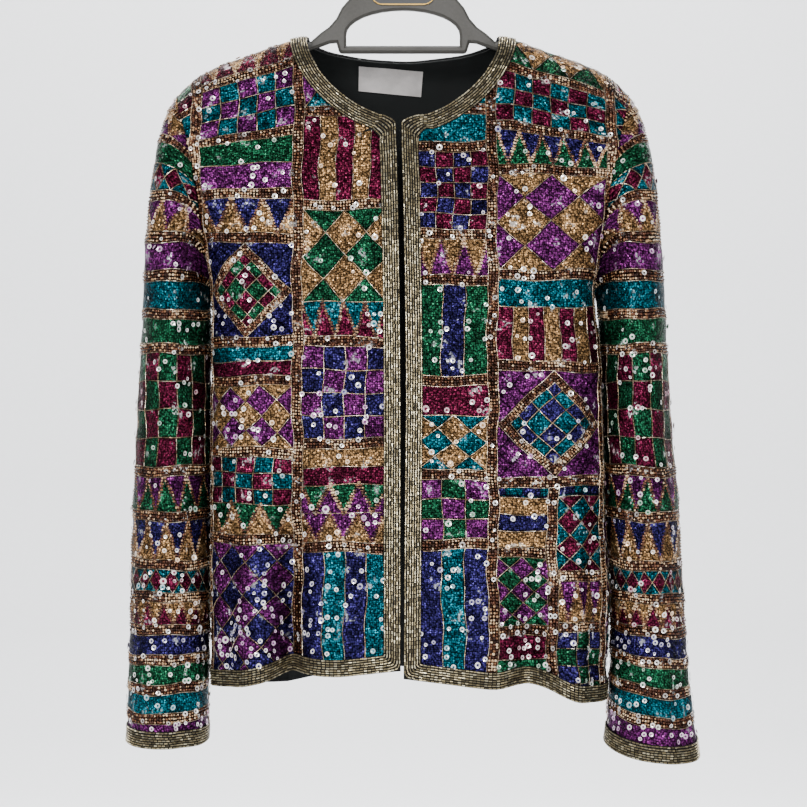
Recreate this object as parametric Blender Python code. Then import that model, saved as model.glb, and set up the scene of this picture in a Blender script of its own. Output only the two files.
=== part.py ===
"""An evening jacket on a hanger: cloth panels, sleeves, edge trims, back lining and label, and the plain
hanger that holds them. Metres, +Z up, the front faces -Y, the origin is where a rail carries the hook."""

import bmesh
import bpy
import numpy as np

for old in list(bpy.data.objects):
    bpy.data.objects.remove(old)

# Cloth walls and how closely sewn pieces lie, in metres.
WALL = 0.0015
SEAM = 0.00022
CLEAR = 0.00038
TRIM_RAISE = 0.0020
TRIM_WIDE = 0.0150
LINING_WALL = 0.0010
LABEL_WALL = 0.0007

# Shoulder line: level over the neck, a straight slope, then a padded end that rounds over.
SHOULDER_Z = -0.1300
SHOULDER_SLOPE_FROM = 0.0945
SHOULDER_SLOPE_SOFT = 0.004
SHOULDER_SLOPE = 0.36
SHOULDER_TURN_FROM = 0.155
SHOULDER_TURN_REACH = 0.056
SHOULDER_TURN = 19.4
SHOULDER_TURN_POWER = 2.4
SHOULDER_ROUND = 0.030
SHOULDER_POINT = 0.2025
SLOPE_FADES = 0.170

# Neck, armhole and hem levels.
NECK_HALF = 0.0865
NECK_FRONT_DROP = 0.0775
NECK_BACK_DROP = 0.0177
NECK_POWER = 1.7
UNDERARM_Z = -0.362
BACK_HEM_Z = -0.7200
BACK_HEM = {
    "girth": (-0.220, -0.165, -0.120, -0.080, -0.055, 0.0, 0.060, 0.120, 0.170, 0.220),
    "z": (BACK_HEM_Z, -0.7195, -0.7172, -0.7118, -0.7075, -0.7030, -0.7045, -0.7100, -0.7160, BACK_HEM_Z),
}
CORNER_SHARE = 0.56
FRONT_CROWN = 0.006

# Corner of the neck and the front edge: how far round the neck its curve runs, where its foot and the
# trim's mitre lie below the neck, and how the trim's inner line rounds it.
NECK_SHARE = 0.80
NECK_FOOT_Z = -0.2105
NECK_FOOT_U = 0.020
CORNER_TOP_Z = -0.213
CORNER_BACK = (0.0010, 0.0018)
CORNER_CUT = 0.0012
CORNER_DOWN = 0.0065
INNER_CORNER = ((0.0222, 0.0060), (TRIM_WIDE, 0.0135), (TRIM_WIDE, 0.0190))

# The back's first row: where the neck trim ends at the shoulder, and the row's run along the shoulder.
BACK_TRIM_END = (0.0105, 0.0205)
BACK_SHOULDER_RUN = 0.0130
BACK_TRIM_STEP = 0.0012
BACK_TRIM_CELLS = range(5, 19)

# Rows of the panels: shoulder to underarm, underarm to hem trim, hem trim.
ROWS_ARM = 13
ROWS_BODY = 14
NECK_ROWS = 8
CAP_RINGS = 7
TUBE_RINGS = 19

# Half width and half depth of the body at each level.
BODY = {
    "z": (
        -0.120, -0.183, -0.208, -0.235, -0.267, -0.312, -0.362,
        -0.410, -0.460, -0.550, -0.650, -0.695, -0.730,
    ),
    "half_width": (
        0.2140, 0.2130, 0.2116, 0.2070, 0.1957, 0.1796, 0.1700,
        0.1699, 0.1703, 0.1706, 0.1704, 0.1694, 0.1692,
    ),
    "left_more": (0, 0, 0, 0, 0, 0, 0, 0.0050, 0.0070, 0.0086, 0.0126, 0.0110, 0.0106),
    "depth_gain": (
        0.000, 0.006, 0.012, 0.019, 0.026, 0.032, 0.036, 0.039, 0.041, 0.045, 0.049, 0.050, 0.051,
    ),
}

# Armhole: share of the way from the shoulder point to the underarm, and the girth there.
ARMHOLE = {
    "way": (0.0, 0.1436, 0.2532, 0.369, 0.481, 0.6455, 0.7468, 0.8564),
    "girth": (0.2025, 0.2012, 0.1960, 0.1893, 0.1843, 0.1849, 0.1928, 0.2044),
}

# Front edges: distance of each edge from the middle line, outward on its own side.
FRONT_EDGE = {
    "z": (-0.213, -0.300, -0.440, -0.560, -0.710),
    "right": (0.0060, 0.0038, 0.0020, 0.0019, 0.0020),
    "left": (-0.0016, 0.0004, 0.0022, 0.0013, 0.0004),
}

# Hem level of each front by girth from its edge to the side seam.
HEM_RIGHT = {
    "girth": (0.000, 0.027, 0.053, 0.078, 0.100, 0.118, 0.139, 0.163, 0.240),
    "z": (-0.6915, -0.6940, -0.6967, -0.6955, -0.6930, -0.7005, -0.7060, -0.7070, -0.7100),
}
HEM_LEFT = {
    "girth": (0.000, 0.045, 0.086, 0.102, 0.118, 0.132, 0.146, 0.165, 0.240),
    "z": (-0.6985, -0.7040, -0.7072, -0.7035, -0.7045, -0.7100, -0.7180, -0.7205, -0.7150),
}

# Columns of each front, as shares from the trim's inner line to the side seam: closer where folds lie.
FRONT_COLUMNS = {
    "right": (0, 0.09, 0.18, 0.26, 0.32, 0.37, 0.415, 0.46, 0.51, 0.57, 0.65, 0.74, 0.83, 0.92, 1),
    "left": (0, 0.10, 0.20, 0.29, 0.36, 0.42, 0.475, 0.53, 0.585, 0.64, 0.70, 0.77, 0.84, 0.92, 1),
}

# Folds of the body: (piece, girth at top, z of top, girth at foot, z of foot, width, depth). Depth under
# zero is a trough, over zero a flute that stands out.
FOLDS = (
    ("right", 0.094, -0.450, 0.100, -0.735, 0.0125, -0.0175),
    ("right", 0.066, -0.500, 0.070, -0.735, 0.0150, 0.0060),
    ("right", 0.124, -0.470, 0.128, -0.735, 0.0150, 0.0075),
    ("right", 0.030, -0.330, 0.040, -0.660, 0.0170, -0.0030),
    ("right", 0.150, -0.220, 0.138, -0.430, 0.0170, -0.0035),
    ("left", 0.112, -0.520, 0.109, -0.735, 0.0130, -0.0130),
    ("left", 0.146, -0.560, 0.149, -0.735, 0.0140, 0.0090),
    ("left", 0.080, -0.560, 0.078, -0.735, 0.0160, 0.0050),
    ("left", 0.045, -0.400, 0.040, -0.650, 0.0180, -0.0030),
    ("left", 0.148, -0.215, 0.138, -0.430, 0.0170, -0.0035),
    ("back", -0.120, -0.480, -0.112, -0.745, 0.0160, -0.0110),
    ("back", -0.078, -0.470, -0.074, -0.745, 0.0170, 0.0060),
    ("back", 0.012, -0.340, 0.006, -0.600, 0.0200, -0.0035),
    ("back", 0.070, -0.500, 0.066, -0.745, 0.0160, -0.0100),
    ("back", 0.110, -0.490, 0.114, -0.745, 0.0160, 0.0070),
    ("back", -0.146, -0.225, -0.136, -0.430, 0.0180, -0.0040),
    ("back", 0.146, -0.225, 0.136, -0.430, 0.0180, -0.0040),
)

# Sleeves below the underarm: middle, half width across the front, half depth, middle in depth.
SLEEVE_Z = (-0.385, -0.460, -0.550, -0.650, -0.720, -0.765)
SLEEVES = {
    "right": {
        "middle": (0.2040, 0.2058, 0.2073, 0.2082, 0.2090, 0.2095),
        "half": (0.0297, 0.0318, 0.0340, 0.0350, 0.0354, 0.0352),
        "deep": (0.0720, 0.0700, 0.0650, 0.0560, 0.0500, 0.0460),
        "forward": (0.000, 0.002, 0.008, 0.018, 0.026, 0.030),
        "cuff_z": -0.7570, "cuff_tilt": 0.0040, "cuff_roll": 0.0000,
    },
    "left": {
        "middle": (0.2065, 0.2095, 0.2138, 0.2185, 0.2205, 0.2218),
        "half": (0.0290, 0.0300, 0.0328, 0.0330, 0.0365, 0.0412),
        "deep": (0.0720, 0.0700, 0.0650, 0.0560, 0.0480, 0.0420),
        "forward": (0.000, 0.002, 0.007, 0.015, 0.022, 0.026),
        "cuff_z": -0.7650, "cuff_tilt": 0.0090, "cuff_roll": 0.0060,
    },
}
SLEEVE_POWER = 0.90

# How the sleeve leaves the armhole: outward, forward and downward at the shoulder, and what changes by
# the underarm; then how strongly it keeps that way, and how strongly it comes into the tube.
CAP_START = {"out": (0.62, 0.38), "forward": 0.36, "down": (0.78, -0.70)}
CAP_LEAVE = (0.55, 0.10)
CAP_ARRIVE = 0.95

# Folds of the sleeves: (piece, angle from the outer side over the front, z of top, z of foot, width in
# degrees, depth).
SLEEVE_FOLDS = (
    ("right", 118, -0.250, -0.520, 15, -0.0035),
    ("right", 116, -0.610, -0.790, 12, -0.0050),
    ("right", 62, -0.420, -0.640, 16, -0.0025),
    ("right", 250, -0.300, -0.600, 20, -0.0050),
    ("right", 205, -0.420, -0.700, 16, -0.0030),
    ("left", 84, -0.210, -0.370, 15, -0.0045),
    ("left", 110, -0.480, -0.680, 14, -0.0030),
    ("left", 52, -0.640, -0.800, 14, -0.0040),
    ("left", 290, -0.320, -0.600, 20, -0.0050),
    ("left", 225, -0.430, -0.720, 16, -0.0030),
)

# Hanger, seen from the front, right half. Arms end in the padded shoulders.
PLATE_HALF = 0.0050
PLATE_BEVEL = 0.0022
ARM_DEEP = 0.0115
HANGER_OUTLINE = (
    (0.0000, -0.0700), (0.0200, -0.0710), (0.0370, -0.0800), (0.0486, -0.0958), (0.0549, -0.1030),
    (0.0600, -0.1130), (0.0665, -0.1205), (0.0745, -0.1262), (0.0835, -0.1342),
)
ARM_TOP_X = (0.0950, 0.1150, 0.1350, 0.1550, 0.1680, 0.1780, 0.1860)
ARM_REST = 0.0052
BAR_HALF = 0.0583
BAR_FOOT_Z = -0.1440
OPENING_HALF = 0.0510
OPENING_TOP_Z = -0.1054
OPENING_FOOT_Z = -0.1375
OPENING_ROUND = (0.46, 0.43)
ARM_TIP = ((0.0030, -0.0050), (0.0005, -0.0110))
ARM_FOOT = ((0.0930, -0.1445), (0.0758, -0.1386), (0.0660, -0.1350), (0.0600, -0.1345))
BAR_CORNER = 0.004
HOOK_RADIUS = 0.0245
HOOK_WIRE = 0.0020
HOOK_SHANK = (0.0000, -0.0600)
HOOK_NECK = (0.0015, -0.0035)
HOOK_TURN = (-72, 196)
BADGE_HALF = 0.0288
BADGE_Z = (-0.1012, -0.0812)
BADGE_WALL = 0.0012
BADGE_BEVEL = 0.0003

# Label sewn inside the back of the neck, on the lining: its corners seen from the front.
LABEL_CORNERS = {"x": (-0.0402, 0.0183, 0.0165, -0.0406), "z": (-0.1516, -0.1562, -0.1789, -0.1737)}
LABEL_CLEAR = CLEAR + 0.0003
LABEL_COLUMNS = 6
LABEL_ROWS = 3


def curve(xs, ys, x):
    """A smooth line through a short table: cubic between its rows, level past its ends."""
    xs = np.asarray(xs, float)
    ys = np.asarray(ys, float)
    x = np.asarray(x, float)
    if xs[0] > xs[-1]:
        xs = xs[::-1]
        ys = ys[::-1]
    step = np.diff(xs)
    rise = np.diff(ys, axis=0) / step
    slope = np.empty_like(ys)
    slope[1:-1] = (rise[:-1] * step[1:] + rise[1:] * step[:-1]) / (step[1:] + step[:-1])
    slope[0] = rise[0]
    slope[-1] = rise[-1]
    at = np.clip(x, xs[0], xs[-1])
    k = np.clip(np.searchsorted(xs, at, side="right") - 1, 0, len(xs) - 2)
    h = step[k]
    t = (at - xs[k]) / h
    return (
        (2 * t**3 - 3 * t**2 + 1) * ys[k]
        + (t**3 - 2 * t**2 + t) * h * slope[k]
        + (3 * t**2 - 2 * t**3) * ys[k + 1]
        + (t**3 - t**2) * h * slope[k + 1]
    )


def ease(t):
    t = np.clip(t, 0.0, 1.0)
    return t * t * (3 - 2 * t)


def shoulder_line(u):
    u = np.abs(u)
    past = u - SHOULDER_SLOPE_FROM
    sloped = 0.5 * (past + np.sqrt(past**2 + SHOULDER_SLOPE_SOFT**2))
    turned = np.clip(u - SHOULDER_TURN_FROM, 0, SHOULDER_TURN_REACH) ** SHOULDER_TURN_POWER
    return SHOULDER_Z - SHOULDER_SLOPE * sloped - SHOULDER_TURN * turned


def level_at(u, e):
    """The level of cloth at girth u and run e: the slope of the shoulders fades out further down."""
    quarter = SHOULDER_ROUND * np.pi / 2
    turn = np.clip(e / SHOULDER_ROUND, 0, np.pi / 2)
    drop = SHOULDER_ROUND * (1 - np.cos(turn)) + np.maximum(e - quarter, 0)
    slope = (shoulder_line(u) - SHOULDER_Z) * (1 - ease(e / SLOPE_FADES))
    return SHOULDER_Z + slope - drop


def run_of(u, z):
    """The run below the shoulder line at which cloth at girth u is at level z."""
    low = np.zeros(np.broadcast(u, z).shape)
    high = low + 1.0
    for _ in range(46):
        middle = (low + high) / 2
        above = level_at(u, middle) > z
        low = np.where(above, middle, low)
        high = np.where(above, high, middle)
    return np.where(low < 1e-9, 0.0, (low + high) / 2)


def body_section(z, turn, u):
    """Half width, half depth and corner radius at a level, on the side that u is on."""
    wide = curve(BODY["z"], BODY["half_width"], z)
    wide = wide + np.where(np.asarray(u) > 0, curve(BODY["z"], BODY["left_more"], z), 0)
    gain = curve(BODY["z"], BODY["depth_gain"], z)
    deep = SHOULDER_ROUND * np.sin(turn) + gain * (1 - np.cos(turn))
    return wide, deep, CORNER_SHARE * deep


def quarter_girth(z, side):
    wide, deep, corner = body_section(z, np.pi / 2, side)
    return wide - corner + corner * np.pi / 2 + deep - corner


def fold_height(piece, u, z):
    height = np.zeros(np.broadcast(u, z).shape)
    for name, u0, z0, u1, z1, wide, deep in FOLDS:
        if name != piece:
            continue
        along = (z0 - z) / (z0 - z1)
        middle = u0 + (u1 - u0) * np.clip(along, 0, 1)
        closing = 1.0 if z1 < -0.70 else 1 - ease((along - 0.55) / 0.45)
        height = height + deep * ease(along * 1.25) * closing * np.exp(-(((u - middle) / wide) ** 2))
    return height


def plain_body(u, e, front):
    """The body's cloth with no folds, at signed girth u and run e."""
    side = np.where(u < 0, -1.0, 1.0)
    out = np.abs(u)
    turn = np.clip(e / SHOULDER_ROUND, 0, np.pi / 2)
    z = level_at(u, e)
    wide, deep, corner = body_section(z, turn, u)
    flat = wide - corner
    angle = np.clip((out - flat) / np.maximum(corner, 1e-6), 0, np.pi / 2)
    past = np.maximum(out - flat - corner * np.pi / 2, 0)
    x = np.minimum(out, flat) + corner * np.sin(angle)
    y = deep - corner + corner * np.cos(angle) - past
    y = y + FRONT_CROWN * (1 - np.cos(turn)) * np.clip(1 - (x / wide) ** 2, 0, 1)
    return np.stack([side * x, np.where(front, -1.0, 1.0) * y, z], axis=-1)


def unit(v):
    return v / np.maximum(np.linalg.norm(v, axis=-1, keepdims=True), 1e-12)


def body_normal(points_at, u, e, front):
    d = 0.0002
    across = points_at(u + d, e) - points_at(u - d, e)
    down = points_at(u, e + d) - points_at(u, np.maximum(e - d, 0))
    normal = unit(np.cross(across, down))
    return normal if not front else -normal


def body_points(piece, u, e):
    """Outer points and outward normals of a body panel."""
    front = piece != "back"
    sign = -1.0 if piece == "right" else 1.0

    def plain(a, b):
        return plain_body(a, b, front)

    def folded(a, b):
        base = plain(a, b)
        lift = fold_height(piece, a * sign if front else a, base[..., 2])
        return base + body_normal(plain, a, b, front) * lift[..., None]

    return folded(u, e), body_normal(folded, u, e, front)


def armhole(share):
    """Girth and run of the armhole at shares of the way from the shoulder point to the underarm."""
    share = np.asarray(share, float)
    ways = ARMHOLE["way"] + (1.0,)
    girths = ARMHOLE["girth"] + (float(quarter_girth(UNDERARM_Z, 1)),)
    u = curve(ways, girths, share)
    top = shoulder_line(SHOULDER_POINT)
    z = top + (UNDERARM_Z - top) * (1 - np.cos(np.pi * share)) / 2
    return u, run_of(u, z)


def side_boundary(hem_z, side):
    """Armhole, then side seam down to the top of the hem trim; side is -1 for the right, 1 for the left."""
    u_arm, e_arm = armhole(np.arange(ROWS_ARM + 1) / ROWS_ARM)
    z = np.linspace(UNDERARM_Z, hem_z + TRIM_WIDE, ROWS_BODY + 1)[1:]
    u = quarter_girth(z, side)
    return np.append(u_arm, u), np.append(e_arm, run_of(u, z))


def neck_curve(share, drop):
    angle = share * np.pi / 2
    x = NECK_HALF * np.cos(angle) ** (2 / NECK_POWER)
    return x, SHOULDER_Z - drop * np.sin(angle) ** (2 / NECK_POWER)


def offset_in(u, e, distance):
    """A line moved sideways by a distance, to the side that it turns away from."""
    du = np.gradient(u)
    de = np.gradient(e)
    long = np.hypot(du, de)
    return u + distance * de / long, e - distance * du / long


def fill(left, right, top, bottom, s, t):
    """Blends four edges into a grid; each edge is (girths, runs)."""
    grid = []
    for part in range(2):
        a = np.asarray(left[part])[:, None]
        b = np.asarray(right[part])[:, None]
        c = np.asarray(top[part])[None, :]
        d = np.asarray(bottom[part])[None, :]
        ss = s[None, :]
        tt = t[:, None]
        corners = (
            (1 - ss) * (1 - tt) * a[0] + ss * (1 - tt) * b[0] + (1 - ss) * tt * a[-1] + ss * tt * b[-1]
        )
        grid.append((1 - ss) * a + ss * b + (1 - tt) * c + tt * d - corners)
    return grid


def shares(*lines):
    """Mean share of the length along lines that have the same count of points."""
    total = 0
    for u, e in lines:
        run = np.append(0, np.cumsum(np.hypot(np.diff(u), np.diff(e))))
        total = total + run / run[-1]
    return total / len(lines)


def front_grid(piece, columns):
    """Girth, on the panel's own side, and run at each point of a front: column 0 is the neck and front
    edge, column 1 is the inner line of the trim, the last row is the hem."""
    hem = HEM_RIGHT if piece == "right" else HEM_LEFT
    side_u, side_e = side_boundary(float(hem["z"][-1]), -1 if piece == "right" else 1)
    hem_u = np.asarray(columns, float)
    edge_x, edge_z = neck_curve(np.linspace(0, NECK_SHARE, NECK_ROWS - 1), NECK_FRONT_DROP)
    edge_e = run_of(edge_x, edge_z)
    inner_u, inner_e = offset_in(edge_x, edge_e, TRIM_WIDE)
    inner_u[0] = NECK_HALF + TRIM_WIDE
    inner_e[0] = 0.0
    corner_x = float(curve(FRONT_EDGE["z"], FRONT_EDGE[piece], CORNER_TOP_Z))
    level = float(run_of(np.array(NECK_FOOT_U), np.array(NECK_FOOT_Z)))
    half_x = 0.5 * edge_x[-1] + 0.5 * corner_x + CORNER_BACK[0]
    half_e = 0.55 * edge_e[-1] + 0.45 * level - CORNER_BACK[1]
    edge_u = np.append(edge_x, [half_x, corner_x + CORNER_CUT, corner_x])
    edge_e = np.append(edge_e, [half_e, level - CORNER_CUT, level + CORNER_DOWN])
    inner_u = np.append(inner_u, [corner_x + across for across, _ in INNER_CORNER])
    inner_e = np.append(inner_e, [level + down for _, down in INNER_CORNER])
    rows_left = ROWS_ARM + ROWS_BODY - len(edge_u)
    top_z = float(level_at(NECK_FOOT_U, level + INNER_CORNER[-1][1]))
    hem_edge_z = float(curve(hem["girth"], hem["z"], 0.0))
    z = np.linspace(top_z, hem_edge_z + TRIM_WIDE, rows_left + 2)[1:]
    x = curve(FRONT_EDGE["z"], FRONT_EDGE[piece], z)
    edge_u = np.append(edge_u, x)
    edge_e = np.append(edge_e, run_of(x, z))
    inner_u = np.append(inner_u, x + TRIM_WIDE)
    inner_e = np.append(inner_e, run_of(x + TRIM_WIDE, z))
    last = len(edge_u) - 1
    bottom_u = inner_u[-1] + (side_u[-1] - inner_u[-1]) * hem_u
    hem_z = curve(hem["girth"], hem["z"], bottom_u)
    bottom_e = run_of(bottom_u, hem_z + TRIM_WIDE)
    inner_e[-1] = bottom_e[0]
    edge_e[-1] = run_of(edge_u[-1], curve(hem["girth"], hem["z"], edge_u[-1]) + TRIM_WIDE)
    top_u = inner_u[0] + (SHOULDER_POINT - inner_u[0]) * hem_u
    top_e = np.zeros_like(top_u)
    left = (inner_u, inner_e)
    right = (side_u[: last + 1], side_e[: last + 1])
    u, e = fill(left, right, (top_u, top_e), (bottom_u, bottom_e), hem_u, shares(left, right))
    e = np.maximum(e, 0)
    u = np.column_stack([edge_u, u])
    e = np.column_stack([edge_e, e])
    foot_z = curve(hem["girth"], hem["z"], u[-1])
    return np.vstack([u, u[-1]]), np.vstack([e, run_of(u[-1], foot_z)])


def back_grid():
    """Signed girth and run at each point of the back, from the right side to the left."""
    side_u, side_e = side_boundary(BACK_HEM_Z, 1)
    right_u, right_e = side_boundary(BACK_HEM_Z, -1)
    neck_x, neck_z = neck_curve(np.linspace(0, 1, 7), NECK_BACK_DROP)
    neck_x = np.maximum(neck_x, 0)
    neck_e = run_of(neck_x, neck_z)
    low_u, low_e = offset_in(neck_x, neck_e, TRIM_WIDE)
    low_u[-1] = 0.0
    low_u[0] = NECK_HALF + BACK_TRIM_END[0]
    low_e[0] = BACK_TRIM_END[1]
    shoulder = np.linspace(NECK_HALF + TRIM_WIDE, SHOULDER_POINT, 6)
    top_u = np.concatenate([shoulder[::-1], neck_x])
    top_e = np.concatenate([np.zeros(6), neck_e])
    row_u = np.concatenate([shoulder[::-1], low_u])
    row_e = np.concatenate([np.full(6, BACK_SHOULDER_RUN), low_e])
    row_u[0] = side_u[1]
    row_e[0] = side_e[1]
    row_u[5] = NECK_HALF + TRIM_WIDE - BACK_TRIM_STEP
    top_u = np.concatenate([-top_u, top_u[-2::-1]])
    top_e = np.concatenate([top_e, top_e[-2::-1]])
    row_u = np.concatenate([-row_u, row_u[-2::-1]])
    row_e = np.concatenate([row_e, row_e[-2::-1]])
    left = (-right_u[1:], right_e[1:])
    right = (side_u[1:], side_e[1:])
    s = shares((row_u, row_e * 0))
    bottom_u = left[0][-1] + (right[0][-1] - left[0][-1]) * s
    hem_z = curve(BACK_HEM["girth"], BACK_HEM["z"], bottom_u)
    bottom_e = run_of(bottom_u, hem_z + TRIM_WIDE)
    t = shares(left, ((0 * left[0]), np.linspace(row_e[12], bottom_e[12], len(left[0]))))
    u, e = fill(left, right, (row_u, row_e), (bottom_u, bottom_e), s, t)
    foot = run_of(bottom_u, hem_z)
    return np.vstack([top_u, u, u[-1]]), np.vstack([top_e, e, foot])


def pull_in(points, first_row=True, last_row=False, first_column=False, last_column=True):
    """Moves sewn edges back from the seam line."""
    p = points.copy()
    if first_row:
        p[0] += unit(points[1] - points[0]) * SEAM
    if last_row:
        p[-1] += unit(points[-2] - points[-1]) * SEAM
    if first_column:
        p[:, 0] += unit(points[:, 1] - points[:, 0]) * SEAM
    if last_column:
        p[:, -1] += unit(points[:, -2] - points[:, -1]) * SEAM
    return p


def add_object(name, points, faces, material):
    mesh = bpy.data.meshes.new(name)
    mesh.from_pydata([tuple(p) for p in points], [], [tuple(int(i) for i in f) for f in faces])
    work = bmesh.new()
    work.from_mesh(mesh)
    bmesh.ops.recalc_face_normals(work, faces=work.faces)
    work.to_mesh(mesh)
    work.free()
    mesh.materials.append(material)
    made = bpy.data.objects.new(name, mesh)
    bpy.context.collection.objects.link(made)
    return made


def plate(name, upper, lower, cells, material, ring=False):
    """A closed plate over the listed cells of two point grids, upper and lower; a ring joins the last
    column to the first."""
    rows, columns = upper.shape[:2]
    top = []
    for j, i in cells:
        a = j * columns + i
        b = j * columns + (i + 1) % columns if ring else j * columns + i + 1
        top.append((a, b, b + columns))
        top.append((a, b + columns, a + columns))
    top = np.array(top)
    used = np.unique(top)
    number = np.full(rows * columns, -1)
    number[used] = np.arange(len(used))
    top = number[top]
    count = len(used)
    edges = np.concatenate([top[:, [0, 1]], top[:, [1, 2]], top[:, [2, 0]]])
    forward = {(int(a), int(b)) for a, b in edges}
    walls = []
    for a, b in sorted(forward):
        if (b, a) not in forward:
            walls.append((b, a, a + count))
            walls.append((b, a + count, b + count))
    faces = [tuple(f) for f in top] + [tuple(f[::-1] + count) for f in top] + walls
    points = np.concatenate([upper.reshape(-1, 3)[used], lower.reshape(-1, 3)[used]])
    return add_object(name, points, faces, material)


def all_cells(grid, ring=False):
    rows, columns = grid.shape[:2]
    return [(j, i) for j in range(rows - 1) for i in range(columns if ring else columns - 1)]


def material(name, colour, roughness, metallic=0.0):
    made = bpy.data.materials.new(name)
    made.use_nodes = True
    shader = made.node_tree.nodes["Principled BSDF"]
    shader.inputs["Base Color"].default_value = (*colour, 1.0)
    shader.inputs["Roughness"].default_value = roughness
    shader.inputs["Metallic"].default_value = metallic
    return made


def loop_points():
    """Armhole seam points on the left side, with the panel's normals and the directions out over its edge:
    down the front from the shoulder point to the underarm, then up behind."""
    share = np.arange(ROWS_ARM + 1) / ROWS_ARM
    u, e = armhole(share)
    front, front_n = body_points("plain", u, e)
    back = front * np.array([1, -1, 1])
    back_n = front_n * np.array([1, -1, 1])
    points = np.concatenate([front, back[-2:0:-1]])
    normals = np.concatenate([front_n, back_n[-2:0:-1]])
    around = unit(np.roll(points, -1, axis=0) - np.roll(points, 1, axis=0))
    return points, normals, unit(np.cross(normals, around))


def sleeve_rings(piece):
    """Outer points of a sleeve, ring by ring from the armhole to the cuff, on the left side."""
    table = SLEEVES[piece]
    loop, normals, over_edge = loop_points()
    count = len(loop)
    k = np.arange(count)
    way = np.minimum(k, count - k) / ROWS_ARM
    angle = 2 * np.pi * k / count
    outward = CAP_START["out"][0] + CAP_START["out"][1] * way
    downward = CAP_START["down"][0] + CAP_START["down"][1] * way
    start = unit(np.stack([outward, -CAP_START["forward"] * np.sin(angle), -downward], axis=-1))

    def tube(z_mid, share_down):
        middle = curve(SLEEVE_Z, table["middle"], z_mid)
        half = curve(SLEEVE_Z, table["half"], z_mid)
        deep = curve(SLEEVE_Z, table["deep"], z_mid)
        forward = curve(SLEEVE_Z, table["forward"], z_mid)
        c = np.cos(angle)
        s = np.sin(angle)
        x = middle + half * np.sign(c) * np.abs(c) ** SLEEVE_POWER
        y = -forward - deep * np.sign(s) * np.abs(s) ** SLEEVE_POWER
        z = z_mid - share_down * (table["cuff_tilt"] * s + table["cuff_roll"] * c)
        return np.stack([x, y, np.broadcast_to(z, x.shape)], axis=-1)

    first_z = SLEEVE_Z[0]
    ring_z = first_z + (table["cuff_z"] - first_z) * np.linspace(0, 1, TUBE_RINGS + 1)
    share_down = ((first_z - ring_z) / (first_z - table["cuff_z"])) ** 2
    tubes = np.array([tube(z, d) for z, d in zip(ring_z, share_down)])
    end = tubes[0]
    chord = np.linalg.norm(end - loop, axis=-1, keepdims=True)
    leave = start * chord * (CAP_LEAVE[0] + CAP_LEAVE[1] * way[:, None])
    arrive = unit(tubes[1] - tubes[0]) * chord * CAP_ARRIVE
    rings = []
    for t in np.linspace(0, 1, CAP_RINGS + 1)[:-1]:
        rings.append(
            (2 * t**3 - 3 * t**2 + 1) * loop
            + (t**3 - 2 * t**2 + t) * leave
            + (3 * t**2 - 2 * t**3) * end
            + (t**3 - t**2) * arrive
        )
    rings = np.concatenate([np.array(rings), tubes])
    return rings, normals, over_edge, angle


def ring_normals(rings):
    around = np.roll(rings, -1, axis=1) - np.roll(rings, 1, axis=1)
    down = np.empty_like(rings)
    down[1:-1] = rings[2:] - rings[:-2]
    down[0] = rings[1] - rings[0]
    down[-1] = rings[-1] - rings[-2]
    return unit(np.cross(around, down))


def sleeve_points(piece):
    """Outer and inner points of a sleeve, and its normals, on the left side."""
    rings, panel_normals, over_edge, angle = sleeve_rings(piece)
    normals = ring_normals(rings)
    degrees = np.degrees(angle)[None, :]
    z = rings[..., 2]
    lift = np.zeros(z.shape)
    for name, at, z0, z1, wide, deep in SLEEVE_FOLDS:
        if name != piece:
            continue
        along = (z0 - z) / (z0 - z1)
        closing = 1.0 if z1 < -0.77 else 1 - ease((along - 0.5) * 2)
        lift = lift + deep * ease(along * 2) * closing * np.exp(-(((degrees - at) / wide) ** 2))
    settled = ease(np.arange(len(rings)) / (CAP_RINGS - 1))[:, None]
    rings = rings + normals * (lift * settled)[..., None]
    normals = ring_normals(rings)
    mitre = unit(panel_normals + normals[0])
    reach = np.minimum(1 / np.maximum((mitre * normals[0]).sum(-1), 0.5), 1.9)
    outer = rings.copy()
    outer[0] += (unit(rings[1] - rings[0]) + over_edge) * SEAM * 0.8
    dives = (unit(rings[1] - rings[0]) * panel_normals).sum(-1) < 0
    lean = np.where(dives[:, None], mitre * reach[:, None], normals[0])
    inner = rings - normals * WALL
    inner[0] = outer[0] - lean * WALL
    return outer, inner, normals, np.where(dives[:, None], lean, panel_normals)


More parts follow.
